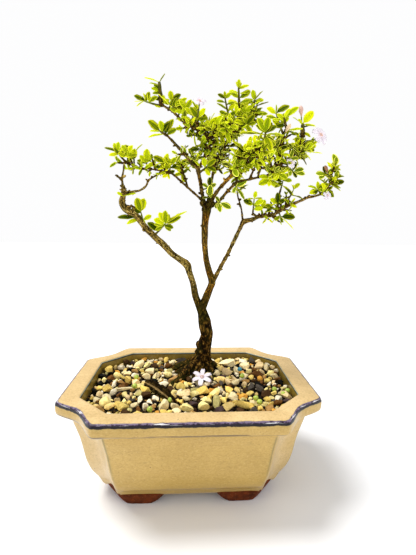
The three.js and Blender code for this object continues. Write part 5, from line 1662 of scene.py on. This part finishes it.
for name, seed, limb, station, tone, direction, length, pairs, leaf_length in SPRAYS:
    draw, finer = draws_from(seed), draws_from(seed + SECOND_STREAM)
    turn = draw() * math.pi
    place, _, radius = point_on(LIMBS[limb], station)
    twig = make_twig(place + unit(direction) * radius * 0.9, direction, length, turn)
    heap = Heap()
    add_shoot(heap, twig, pairs, leaf_length, draw, finer, tone=0.25 + 0.6 * finer())
    make_shoots(heap, f"shoot_{name}", tone, [f"spray_{name}"])

# %% [markdown]
# ## Filling the crown
#
# The solid model holds only as many shoots as its triangles allow. The real crown is far denser, so
# short shoots are grown all round the limbs by a rule, up to seventeen on each, and each is turned
# by the golden angle from the last, as leaves on a stem arrange themselves.

# %% Shoots between the shoots
# piece: limb, first place, last place, how many, leaf length, tone
FILLING = {
    "reach_inner": ("crownReach", 0.4, 3.4, 11, 7.2, "bright"),
    "rise": ("crownRise", 1.2, 3.9, 11, 7.2, "bright"),
    "inner": ("crownInner", 0.3, 2.9, 15, 7.2, "bright"),
    "inner_side": ("sideInner", 0.4, 0.95, 6, 7.0, "bright"),
    "back_low": ("back", 2.8, 5.2, 17, 7.0, "deep"),
    "back_high": ("back", 5.2, 6.9, 10, 7.0, "bright"),
    "twin": ("backTwin", 0.1, 0.95, 6, 6.8, "bright"),
    "back_right": ("backRight", 0.3, 1.9, 11, 7.4, "bright"),
    "front": ("front", 3.6, 5.9, 17, 7.6, "bright"),
    "side_low": ("side", 6.8, 9.6, 14, 7.0, "deep"),
    "side_high": ("side", 9.6, 11.0, 11, 7.2, "bright"),
    "tall": ("sideTall", 0.4, 2.1, 10, 7.4, "bright"),
    "left_crown": ("crownLeft", 3.4, 6.9, 12, 6.6, "bright"),
    "fork": ("crownLeftFork", 1.5, 1.9, 3, 6.6, "bright"),
    "right_low": ("right", 8.2, 12.6, 9, 6.0, "bright"),
    "right_high": ("right", 16.4, 19.8, 8, 5.6, "bright"),
    "front_low": ("front", 2.4, 3.4, 7, 7.0, "bright"),
    "forward": ("crownForward", 0.3, 1.0, 4, 6.2, "deep"),
    "rear_left": ("rearLeft", 1.9, 2.9, 5, 7.0, "deep"),
    "rear_mid": ("rearMid", 0.8, 1.9, 11, 7.4, "deep"),
    "rear_right": ("rearRight", 1.0, 2.9, 11, 7.4, "deep"),
}
FILLING_SEED, FILLING_SECOND_STREAM = 300, 400


def fill_limb(name, limb, first_place, last_place, count, leaf_length, tone, seed):
    draw, finer = draws_from(seed), draws_from(seed + FILLING_SECOND_STREAM)
    heap = Heap()
    for k in range(count):
        station = first_place + (last_place - first_place) * (k + 0.4 * draw()) / max(count - 1, 1)
        place, along, radius = on_limb(limb, station)
        side = spun(unit(np.cross(along, [0.3, 0.2, 0.9])), along, k * GOLDEN_ANGLE + draw())
        direction = side + 0.45 * along + [0, 0, 0.3]
        length = 3.8 + 5 * draw()
        twig = make_twig(place + unit(direction) * radius * 0.8, direction, length, draw() * math.pi)
        size = leaf_length * (0.72 + 0.5 * draw())
        pairs = 2 if draw() < 0.5 else 3
        add_shoot(heap, twig, pairs, size, draw, finer, tone=finer(), thickness=1.05, green=0.0)
    make_shoots(heap, name, tone)


for seed, (name, plan) in enumerate(FILLING.items(), FILLING_SEED):
    fill_limb(f"filling_{name}", *plan, seed)

# %% [markdown]
# The crown's outline is not left to chance, because the eye compares outlines first. These
# shoots are posed one by one, as seen from the front. The tip of each is given by how far it lies
# to the right, to the back and up. Each leaf has its place in tenths of the twig, its angle in
# degrees, from the right and upwards, its length, and a roll from broadside towards edge-on.

# %% A posed leaf
TOWARDS_VIEWER = unit([0.0, -1.0, 0.3])
BROAD_ROLL = 25
LONG_LEAF = 11.6
BROAD_LEAF, SLIM_LEAF = 0.58, 0.38
USUAL_ROLL = 8


def posed_leaf(heap, place, angle, length, tone, draw, roll=USUAL_ROLL):
    """A leaf posed in the plane that the front view shows."""
    turn = math.radians(angle)
    pointing = unit([math.cos(turn), -0.12 - 0.2 * draw(), math.sin(turn)])
    facing = unit(TOWARDS_VIEWER - pointing * (pointing @ TOWARDS_VIEWER))
    sides = [spun(facing, pointing, sign * math.radians(roll)) for sign in (1, -1)]
    facing = max(sides, key=lambda way: way[2])
    width = length * (BROAD_LEAF if roll <= BROAD_ROLL and length < LONG_LEAF else SLIM_LEAF)
    axes = [pointing, np.cross(facing, pointing), facing]
    add_leaf(heap, place, axes, length, width, 0.1 * draw(), tone, draw)


# %% The table of posed shoots
# the four leaves of a plain young shoot
PLAIN = [(10, 60, 8), (10, 120, 8), (7, 15, 8), (7, 165, 8)]
# these posed shoots take the leaf painted deep green for shade
PAINTED_SHADE_SHOOTS = {"stem_leaf", "side_joint", "side_mid", "burst_leaf", "right_tip"}
# limb, place on it, tip, thickness, and for each leaf its tenths, angle, length and roll
POSED_SHOOTS = {
    "reach_top": [
        ("crownReach", 6, [-1.6, 0, 16.6], 2, (10, 165, 11.5, 45), (9.8, 55, 8, 50), (8.6, 168, 8, 40),
         (7, 140, 6), (6.2, 160, 7), (5.5, 182, 6), (5, -48, 5.5), (2.5, -35, 7, 20), (2, 160, 7),
         (1, 12, 7)),
        ("crownReach", 5.3, [2.2, -1, 5], 0.9, (10, 40, 9), (10, 100, 8), (9, 5, 9), (6, 150, 7),
         (6, -20, 8), (3, 60, 7)),
    ],
    "reach_side": [
        ("crownReach", 5.85, [-14.6, -1, 3], 0.9, (10, 158, 8), (9.5, 184, 8, 55), (9.8, 216, 7.7, 45),
         (9, 100, 6, 40), (9, 150, 6), (9, 60, 7.5), (7.2, 40, 8), (5, -30, 6, 20), (7, 95, 6, 20)),
    ],
    "reach_front": [
        ("crownReach", 5, [0.6, -3, 2], 0.7, (9, 33, 13), (8, 137, 14, 62), (9, 70, 8, 30), (9, 5, 8, 30)),
    ],
    "forward_tip": [
        ("crownForward", 2.95, [-5, 0, 3], 1.1, (10, 146, 11), (2, 62, 12.5), (2, 78, 10),
         (3, 190, 12.5, 42), (5, 100, 9), (1, 25, 9), (9, 185, 8, 30), (7, 60, 8)),
    ],
    "bloom_leaves": [
        ("crownBloomTwig", 1, [0, -2, 9], 0.8, (3, 122, 10), (4, 45, 8.5), (9, 127, 8, 35), (2, 10, 8)),
        ("crownReach", 2.4, [0.6, -1, 9], 0.8, (10, 60, 8), (9, 130, 8), (6, 20, 8, 20), (5, 160, 8, 20)),
        ("crownReach", 3.6, [1.6, -1, 9], 0.8, (10, 60, 8), (10, 125, 8), (7, 20, 8), (7, 165, 8),
         (4, 100, 7)),
        ("crownReach", 4.4, [2, -1, 4], 0.8, *PLAIN),
    ],
    "stem_leaf": [
        ("crownStem", 1, [5.4, -2, 0.6], 0.7, (10, 88, 9.5), (8, 190, 5, 20), (9, 15, 6), (10, 120, 6)),
        ("crownStem", 1.5, [6, 0, 2], 0.7, (10, 80, 8), (9, 20, 7), (9, 150, 6)),
    ],
    "fork_leaves": [
        ("crownStem", 2.6, [6, -5, 4], 1, (10, 40, 9), (10, -20, 8), (8, 100, 8), (8, -60, 7), (4, 20, 8)),
    ],
    "twin_top": [
        ("backTwin", 1, [-5.4, -1, 21.5], 1, (9.7, 148, 7), (9.7, 42, 7), (10, 95, 5, 20),
         (8.5, 172, 8, 25), (7.8, 18, 7, 20), (6, 148, 10, 30), (5.8, 35, 8), (3.5, 152, 9), (3.8, 28, 8),
         (1, 150, 7)),
    ],
    "inner_mid": [
        ("crownInner", 0.4, [0.4, -2, 6], 0.7, (10, 36, 13), (10, 62, 10, 20), (8, 140, 9, 20), (5, 100, 8),
         (9, 172, 9, 30)),
    ],
    "top": [
        ("back", 7, [-1.2, 0, 19.5], 1.3, (10, 92, 6.4), (9.7, 108, 5.5, 25), (9.7, 66, 5, 25),
         (9.5, 22, 9, 25), (8, 174, 9, 25), (7.8, 6, 10, 30), (6, 28, 11), (6, 150, 9), (4, 174, 10, 25),
         (4.2, 10, 12, 18), (2, 150, 9), (2, 30, 9)),
    ],
    "top_right": [
        ("backRight", 1.5, [1.8, 0, 12.4], 1.5, (10, 50, 10, 62), (10, 105, 8.5), (9.5, 4, 8), (9, 176, 10),
         (6, 17, 13, 55), (4, 160, 8), (1, 8, 13), (1, 150, 8)),
        ("backRight", 0.2, [4, -6, -4], 0.9, (10, 50, 10), (10, 110, 9), (8, 10, 9), (8, 170, 10),
         (9, -60, 9), (6, 230, 8)),
        ("backRight", 0.4, [1.4, -2, 5], 0.9, (10, 50, 9), (10, 110, 9), (8, 10, 9), (8, 170, 9),
         (2, -30, 9), (2, 215, 8)),
    ],
    "tall_top": [
        ("sideTall", 2.9, [-2.4, -1, 7], 1.1, (10, 38, 13), (9, 70, 8, 30), (7, 172, 10, 30), (7, 140, 8),
         (3, 190, 9)),
        ("sideTall", 2.6, [2, -1, 1], 0.8, (10, 2, 11, 35), (7, -16, 8, 30)),
        ("sideTall", 2.4, [-5.7, 2, 16], 0.9, (10, 28, 11, 22), (10, 92, 6, 45), (9.5, 150, 9), (8, 8, 9),
         (7.5, 174, 10, 25), (5, 40, 8), (4, 150, 8)),
    ],
    "front_tip": [
        ("front", 6, [1.6, -4, 11.4], 1.1, (10, 88, 9.8), (10, 126, 11), (9.5, 62, 8), (9.5, 146, 9, 20),
         (9, 180, 19, 45), (8.5, 172, 13, 50), (8, -70, 11.4), (9, -3, 13, 45), (6, 215, 11, 20),
         (6, -25, 9), (9.5, 30, 9, 25)),
        ("front", 4, [-0.8, -2, -3], 0.6, (10, -22, 8, 18), (10, -50, 7), (8, 200, 6, 20)),
        ("front", 3.9, [0.8, -2, 4], 0.8, (10, 70, 9), (10, 130, 9), (8, 20, 9), (8, 165, 9),
         (5, 200, 8, 20)),
    ],
    "side_top": [
        ("side", 12, [-0.6, -1, 8.6], 2.1, (10, 50, 11.4), (9.5, -10, 10, 35), (10, 152, 10, 55),
         (9, 138, 6, 20), (7, 20, 6, 30), (3, -30, 7, 20)),
    ],
    "side_out": [
        ("side", 10.2, [2.4, -2, -1.6], 0.8, (10, -6, 14, 60), (10, 48, 9), (10, 18, 10, 28),
         (9, -50, 9, 55), (8, 200, 7, 20), (5, 130, 7), (5, 240, 8)),
        ("side", 10.8, [1, -2, -0.6], 0.7, (10, -30, 9), (10, 215, 8), (8, 255, 7), (8, 20, 8)),
    ],
    "side_joint": [
        ("side", 3.6, [1.6, -1.5, -2.4], 0.6, (10, -57, 12, 35), (9, 30, 10), (10, -8, 8, 45), (8, 250, 6)),
    ],
    "right_mid": [
        ("rightMid", 2, [2.4, 0, 9.7], 0.8, (10, 5, 7), (10, 62, 7), (10, 128, 8, 18), (7, -42, 13, 38),
         (9, 165, 9, 25), (8.5, 205, 8, 25), (10, 95, 7)),
        ("rightMid", 0.9, [-0.6, -2, 0.5], 0.6, (10, 100, 9), (10, 150, 8), (10, 35, 7)),
    ],
    "side_under": [
        ("side", 7, [0.5, -3, -4], 0.6, (10, -35, 9, 35), (9.5, 205, 10), (9, 260, 6), (9, -62, 7),
         (6, 170, 9, 20)),
        ("side", 7.6, [2, -3, -2], 0.6, (10, -30, 9), (10, 220, 9), (9, 260, 7), (8, 10, 9)),
    ],
    "side_mid": [
        ("side", 8.6, [6.5, -2, -8], 0.7, (10, -15, 9), (10, 20, 8), (9, 70, 7), (9, -62, 6), (8, 175, 8),
         (5, -80, 7)),
    ],
    "burst_leaf": [
        ("side", 0.9, [2.4, -2.4, 0.6], 0.6, (10, -32, 10), (9, 120, 6, 20)),
        ("side", 0.9, [1, -2.4, 1], 0.6, (10, -84, 8.5), (10, 245, 6, 20)),
    ],
    "right_low": [
        ("rightLow", 1, [0.8, 0, 11.3], 0.7, (10, 75, 6), (10, 180, 6, 35), (10, 4, 6.5, 35), (6, 150, 9),
         (6.5, 172, 8), (6, 28, 8.5), (3, 5, 8)),
        ("right", 8.4, [0, 0, 6.5], 0.7, (10, 20, 8), (10, 75, 7), (10, 160, 7.5)),
    ],
    "right_under": [
        ("right", 11, [1.6, -1.5, -4], 0.7, (10, 6, 11), (10, -40, 14, 68), (9, -78, 5), (8, 215, 6)),
    ],
    "right_near": [
        ("right", 16.4, [-3, -1, 3.4], 0.8, (10, 160, 9, 30), (10, 30, 9), (10, 100, 6), (9, 220, 6, 20),
         (7, 190, 8), (5, 70, 7)),
        ("right", 17.4, [-1, -2, -1], 0.8, (10, 185, 7), (10, 230, 6), (9, -40, 8), (8, 130, 7)),
        ("right", 18.1, [1, -1.5, 0], 0.8, (10, 13, 10, 22), (9, -15, 8, 28), (9, -28, 9, 45), (8, 60, 7)),
    ],
    "right_tip": [
        ("right", 20, [2.6, 0, 3.6], 1.3, (10, 100, 9.5), (10, 86, 7), (9, 20, 5, 35), (9, 165, 6, 25),
         (1, 200, 6), (1, -20, 6)),
        ("right", 19.2, [-5, -1, 1.5], 0.9, (10, 180, 8), (10, 110, 6), (9, 210, 7), (6, 60, 6)),
        ("right", 18.6, [2.8, -1, 2.5], 0.8, (10, 172, 7, 20), (10, 12, 6), (10, 60, 6), (6, 160, 6)),
    ],
    "crown_left_tip": [
        ("crownLeft", 7, [-7.6, 0, 8.6], 1, (10, 164, 10, 30), (9.8, 112, 7), (9.5, 78, 8), (8, 42, 10.5),
         (7, 62, 10, 45), (8, 190, 8, 20), (7, 130, 7), (5, 80, 8), (6, 20, 8)),
        ("crownLeft", 6.9, [0.4, -1, 7], 0.8, *PLAIN),
    ],
    "crown_left_near": [
        ("crownLeft", 6.2, [0, -1, 10], 0.8, (10, 50, 10, 55), (10, 140, 6), (5, 80, 9), (5, 122, 8)),
    ],
    "crown_left_mid": [
        ("crownLeft", 5.4, [0.8, -1, 4.6], 0.8, (10, 86, 10.5), (9, 130, 8), (9, 55, 8), (8, 158, 8, 18),
         (5, 10, 8)),
        ("crownLeft", 4.4, [2.4, -1, 6], 0.8, (10, 148, 10), (10, 194, 7, 45), (10, 60, 8), (8, 20, 9),
         (6, 100, 8), (4, 170, 7)),
        ("crownLeft", 3.6, [1.4, -1, 5], 0.8, *PLAIN),
    ],
    "crown_left_fork": [
        ("crownLeftFork", 1.6, [-3, -1, 6], 0.7, (10, 176, 17, 62), (9, 35, 9), (9, 110, 8), (5, 165, 8)),
    ],
    "left_mid": [
        ("left", 9, [-3, -1, 11.5], 0.9, (10, 104, 11.5), (10, 70, 11), (9.5, 158, 8), (6, 193, 13, 28),
         (5, 30, 8), (5, 150, 8), (6.5, -65, 6, 35)),
    ],
    "left_low": [
        ("left", 9.6, [-3, -1.6, 1.4], 0.7, (10, 178, 13.5, 25)),
        ("left", 13, [0.5, -2, 0], 0.6, (10, 150, 5.5, 25), (10, 12, 10.5, 45)),
    ],
    "left_inner": [
        ("left", 8.2, [9.6, -2, 9.6], 0.9, (10, 112, 10), (10, 84, 10.5), (10, 62, 8), (9.5, 150, 9.5),
         (9, 172, 8, 20), (10, 24, 14), (10, 33, 20, 62), (9, -12, 8, 20), (9, -45, 7, 25), (8, 205, 7, 20),
         (4, 135, 11, 25)),
    ],
}

# %% Making the posed shoots
POSED_SEED = 540
WOODY = 1.0

for seed, (name, shoots) in enumerate(POSED_SHOOTS.items(), POSED_SEED):
    heap, draw = Heap(), draws_from(seed)
    for limb, station, tip, thickness, *leaves in shoots:
        place = on_limb(limb, station)[0]
        twig = make_twig(place, tip, float(np.linalg.norm(tip)), 0)
        add_twig(heap, twig, thickness, 0.35 if thickness >= WOODY else 1.0)
        for tenths, angle, leaf_length, *roll in leaves:
            place = twig_at(twig, tenths / 10)[0]
            posed_leaf(heap, place, angle, leaf_length, 0.2 + 0.6 * draw(), draw, *roll)
    make_shoots(heap, f"shoot_{name}", "deep" if name in PAINTED_SHADE_SHOOTS else "bright", [f"spray_{name}"])
print(len(POSED_SHOOTS), "posed shoots")

# %% [markdown]
# ## Flowers and buds
#
# Serissa is called snow rose for its small white stars. Each has a narrow tube that opens into five
# or six grooved petals that end in small lobes. The petals use the same two-sided sheet as the
# leaves, with another outline. The tube and the stalk are swept lines.

# %% Petals
PETAL_ROWS, PETAL_COLUMNS = 9, 9
PETAL_THICKNESS = 0.25
# how far below the face, and radius, as shares of the flower's size
THROAT = ((0.36, 0.03), (0.2, 0.045), (0.05, 0.07), (-0.04, 0.1))
CUP = ((0.42, 0.03), (0.37, 0.06), (0.28, 0.062), (0.24, 0.04))
PETAL_FACES = np.array(sheet_faces(PETAL_ROWS, PETAL_COLUMNS))
OUT, ASIDE = np.meshgrid(
    np.linspace(0, 1, PETAL_ROWS), np.linspace(-1, 1, PETAL_COLUMNS), indexing="ij")


def petal_grid(radius, breadth, finer):
    """The upper face of one petal, lying along X from the flower's throat."""
    width = breadth * radius * (0.28 + 0.72 * np.sin(np.pi * np.clip(0.1 + 0.72 * OUT, 0, 1)) ** 0.9)
    lobes = 1 - 0.11 * OUT**3 * (0.5 - 0.5 * np.cos(3 * np.pi * ASIDE))
    reach = (0.1 + 0.9 * OUT * lobes) * radius
    ruffle = 0.035 * radius * np.sin(3 * np.pi * ASIDE + 6 * finer()) * OUT**2
    groove = -0.03 * radius * np.cos(np.pi * ASIDE / 2) ** 6 * OUT
    height = radius * (0.2 * OUT - 0.3 * OUT**3) + ruffle + groove
    return np.stack([reach, width * ASIDE * 0.5, height], axis=-1)


print("a petal has", 2 * len(PETAL_FACES), "triangles")


# %% A flower on its stalk
def add_flower(heap, place, facing, size, petals, breadth, seed, curl=0.0, blush=1.0):
    """An open flower: finish 0 is petal, 1 is green, 2 is the yellow of the throat."""
    finer = draws_from(seed)
    facing = unit(facing)
    first_side = unit(np.cross(facing, [0.37, 0.12, 0.92]))
    for k in range(petals):
        angle = 2 * math.pi * (k + 0.12 * (finer() - 0.5)) / petals
        pointing = spun(first_side, facing, angle)
        tipped = unit(pointing + facing * (0.22 * (finer() - 0.5) + curl))
        sideways = np.cross(facing, pointing)
        axes = np.array([tipped, sideways, np.cross(tipped, sideways)])
        upper = petal_grid(size / 2 * (0.93 + 0.12 * finer()), breadth, finer) @ axes + place
        add_sheet(heap, upper, PETAL_THICKNESS * axes[2], PETAL_FACES, petal_out=sheet_marks(OUT),
                  petal_aside=sheet_marks(ASIDE), petal_blush=blush)
    throat, cup = ([[*(place - facing * size * s), size * r] for s, r in part] for part in (THROAT, CUP))
    points, faces, _ = tube(throat, 10)
    heap.add(points, faces, petal_out=0.1, petal_aside=0.0, petal_blush=blush)
    add_stem(heap, cup, 10, 1.0)
    for k in range(5):
        arm = spun(first_side, facing, 2 * math.pi * k / 5 + 0.3)
        anther = place + arm * size * 0.06 + facing * size * 0.07
        heap.add(COARSE_BALL[0] * size * 0.022 + anther, COARSE_BALL[1], 2)


# %% [markdown]
# Petals are white with a breath of pink, pinker towards the throat, with fine lines along them.
# Buds are twisted cones of folded petals, pink, peach or brown. A petal's lines are a sine wave
# across it, and a bud takes its furrows from the group that serves the bark.

# %% Petal and bud materials
petal_skin, shader = start_material("petal_skin")
lines = maths("ABSOLUTE", maths("SINE", times(mark("petal_aside"), 9)))
blush = times(sharpen(mark("petal_out"), 0.45, 0.05), mark("petal_blush"))
drift = mottled(0.3, rgb(0.7, 0.62, 0.68), rgb(0.92, 0.86, 0.9))
colour = mix(times(sharpen(lines, 0.25, 0), 0.35), drift, rgb(0.72, 0.62, 0.72))
colour = mix(times(blush, 0.6), colour, rgb(0.85, 0.5, 0.48))
feed(shader, base_color=colour, roughness=0.6, normal=bump(lines, 0.12, 0.5))

anther_dust, shader = start_material("anther_dust")
colour = mottled(1.2, rgb(0.45, 0.16, 0.02), rgb(0.8, 0.38, 0.05))
feed(shader, base_color=colour, roughness=0.8,
     normal=bump(gritty(4.0, 0.5), 0.1))


def bud_material(name, foot, tip):
    material, shader = start_material(name)
    lines = furrowed(2.2, 0.12)
    drift = mottled(0.35, foot, tip)
    colour = mix(mark("bud_along"), drift, tip)
    colour = mix(times(lines["Cracks"], 0.5), colour, foot)
    feed(shader, base_color=colour, roughness=0.6, normal=bump(lines["Height"], 0.2, 0.6))
    return material


pink_bud = bud_material("pink_bud", rgb(0.5, 0.24, 0.17), rgb(0.78, 0.52, 0.44))
peach_bud = bud_material("peach_bud", rgb(0.62, 0.42, 0.2), rgb(0.86, 0.66, 0.4))
brown_bud = bud_material("brown_bud", rgb(0.16, 0.06, 0.02), rgb(0.42, 0.2, 0.08))
FLOWER_FINISHES = [petal_skin, young_bark, anther_dust]
print("flower materials:", [material.name for material in FLOWER_FINISHES])

# %% The open flowers
# name, limb, place on it, stalk direction, stalk length, facing, size, pinkness of the throat
FLOWERS = [
    ("crown", "crownBloomTwig", 1, [0.1, -0.3, 1.2], 10.5, [0.1, -1, 0.9], 10, 0.9),
    ("side", "side", 11.3, [2.2, -0.6, 0.3], 8.5, [0.4, -1, 0.4], 15.5, 0.4),
    ("front", "side", 8.4, [1, -1.4, -0.5], 5, [0.5, -1, 0.4], 9, 0.0),
    ("outer", "right", 16.4, [1, -1.2, -0.9], 3, [0.3, -1, 0.2], 8, 0.1),
]
FLOWER_SEED, FALLEN_SEED = 700, 733

for seed, (name, limb, station, direction, stalk, facing, size, blush) in enumerate(FLOWERS, FLOWER_SEED):
    place, _, radius = point_on(LIMBS[limb], station)
    begin = place + unit(direction) * radius * 0.9
    head = begin + unit(direction) * (stalk + 0.6)
    heap = Heap()
    rows = [[*begin, 0.55], [*((begin + head) / 2 - [0, 0, 0.3]), 0.45], [*head, 0.42]]
    add_stem(heap, smooth_line(rows, 1.5), 7, 0.6)
    add_flower(heap, head + unit(facing) * 0.34 * size, facing, size, 5, 0.74, seed, blush=blush)
    heap.make(f"open_flower_{name}", FLOWER_FINISHES, "petal", [f"flower_{name}"])

# %% [markdown]
# One flower has dropped onto the gravel in front of the trunk. It lies face up, a little tilted,
# and its petals have begun to narrow and curl.

# %% The fallen flower
low, high = (np.array(corner) / MM - POT_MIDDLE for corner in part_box("flower_fallen"))
heap = Heap()
add_flower(heap, (low + high) / 2 + [0, -6, 1.6], [-0.1, -0.5, 1], 17.5, 6, 0.42, FALLEN_SEED,
           curl=0.12, blush=0.0)
heap.make("fallen_flower", FLOWER_FINISHES, "petal", ["flower_fallen"])

# %% Buds
BUD_ROWS, BUD_SIDES = 14, 15
BUD_FOLDS, BUD_TWIST = 5, 2.2
# name, limb, place on it, stalk direction, stalk length, pointing, length, finish
BUDS = [
    ("top", "side", 12, [-0.12, 0, 1], 13.5, [-0.1, 0, 1], 8.5, pink_bud),
    ("mid", "sideTall", 2.4, [0.1, -1, 0.2], 2.5, [0.6, -0.2, 1], 7.5, peach_bud),
    ("outer", "right", 18.4, [-0.4, -0.4, 1], 7, [-0.5, 0, 1], 6.5, brown_bud),
]


def bud_profile(share):
    """Radius of a bud along its length, as a share of that length."""
    return 0.035 + 0.165 * np.sin(np.pi * np.clip(share, 0, 1) ** 1.5) ** 0.8


def add_bud(heap, place, pointing, length):
    shares = np.linspace(0, 1, BUD_ROWS)
    pointing = unit(pointing)
    rows = [[*(place + pointing * length * s), length * bud_profile(s)] for s in shares]
    rows[-1][3] = 0.12
    points, faces, grain = tube(rows, BUD_SIDES)
    angle = np.tile(2 * np.pi * np.arange(BUD_SIDES) / BUD_SIDES, BUD_ROWS)
    along = np.repeat(shares, BUD_SIDES)
    middle = place + np.outer(along, pointing) * length
    folds = 1 + 0.09 * np.cos(BUD_FOLDS * angle + BUD_TWIST * 2 * np.pi * along)
    points = middle + (points - middle) * folds[:, None]
    heap.add(points, faces, grain=grain, bud_along=along)


for name, limb, station, direction, stalk, pointing, length, finish in BUDS:
    place, _, radius = on_limb(limb, station)
    begin = place + unit(direction) * radius * 0.6
    head = begin + unit(direction) * stalk
    heap = Heap()
    add_stem(heap, smooth_line([[*begin, 0.6], [*((begin + head) / 2), 0.5], [*head, 0.5]], 1.5), 7, 0.8)
    add_bud(heap, head, pointing, length)
    heap.make(f"flower_bud_{name}", [finish, young_bark], "bud", [f"bud_{name}"])

# %% [markdown]
# ## A strip of old bark
#
# A dead curl of bark lies half buried to the left of the trunk. A flat sheet would show no
# thickness, so it is a tube, flattened on top, roughened by noise and thinner at its ends. Its dark
# colour is deepened nearly to black, painted shadow of the hollow it lies in, with one pale splintered
# edge.

# %% Bark strip
STRIP_LINE = [[-34.5, 0, 68.6, 2.2], [-28, -10, 70, 4.0], [-20, -22, 70.4, 4.2], [-11.5, -33, 69, 2.0]]
STRIP_SIDES = 22
STRIP_FLATNESS = 0.62

strip_rows = smooth_line(STRIP_LINE, 0.7)
strip_points, strip_faces, strip_grain = tube(strip_rows, STRIP_SIDES)
ring = np.tile(2 * np.pi * np.arange(STRIP_SIDES) / STRIP_SIDES, len(strip_rows))
for i, point in enumerate(strip_points):
    core = strip_rows[i // STRIP_SIDES, :3]
    lift = 0.35 * noise.noise(Vector(strip_grain[i] * [1.5, 1.5, 0.5]))
    lift += 0.2 * noise.noise(Vector(point) * 0.8)
    flatten = STRIP_FLATNESS if math.sin(ring[i]) > 0 else 1.0
    strip_points[i] = core + (point - core) * (flatten + lift)
grey = np.clip(np.cos(ring - 1.2), 0, 1) ** 3 * 0.8
look = np.stack([grey, np.full(len(ring), 0.4), np.ones(len(ring))], axis=1)
heap = Heap()
heap.add(strip_points, strip_faces, wood_look=look,
         grain=strip_grain * [2.4, 2.4, 1], pale_edge=np.cos(ring - 0.5))

# %% The strip's material
dead_bark, shader = start_material("dead_bark")
colour, lines, parts = bark_colour(1.4, 0.12)
# painted shadow: the bark's own dark colour is mixed nearly to black
colour = mix(0.88, colour, rgb(0.006, 0.004, 0.002))
pale_edge = sharpen(mark("pale_edge"), 0.95, 0.995)
colour = mix(times(pale_edge, 0.8), colour, rgb(0.42, 0.27, 0.1))
feed(shader, base_color=colour, roughness=0.9, specular_ior_level=0.02,
     normal=bump(lines["Height"], 0.9, 0.9))
heap.make("old_bark_strip", [dead_bark], "old_bark", ["bark_strip"])

# %% [markdown]
# ## Table finish
#
# The table is plain and pale, so that nothing competes with the tree.

# %% Table finish
pale_table, shader = start_material("pale_table")
colour = mottled(0.004, rgb(0.9, 0.9, 0.91), rgb(0.93, 0.93, 0.935))
feed(shader, base_color=colour, roughness=0.9)
table_mesh.materials.append(pale_table)
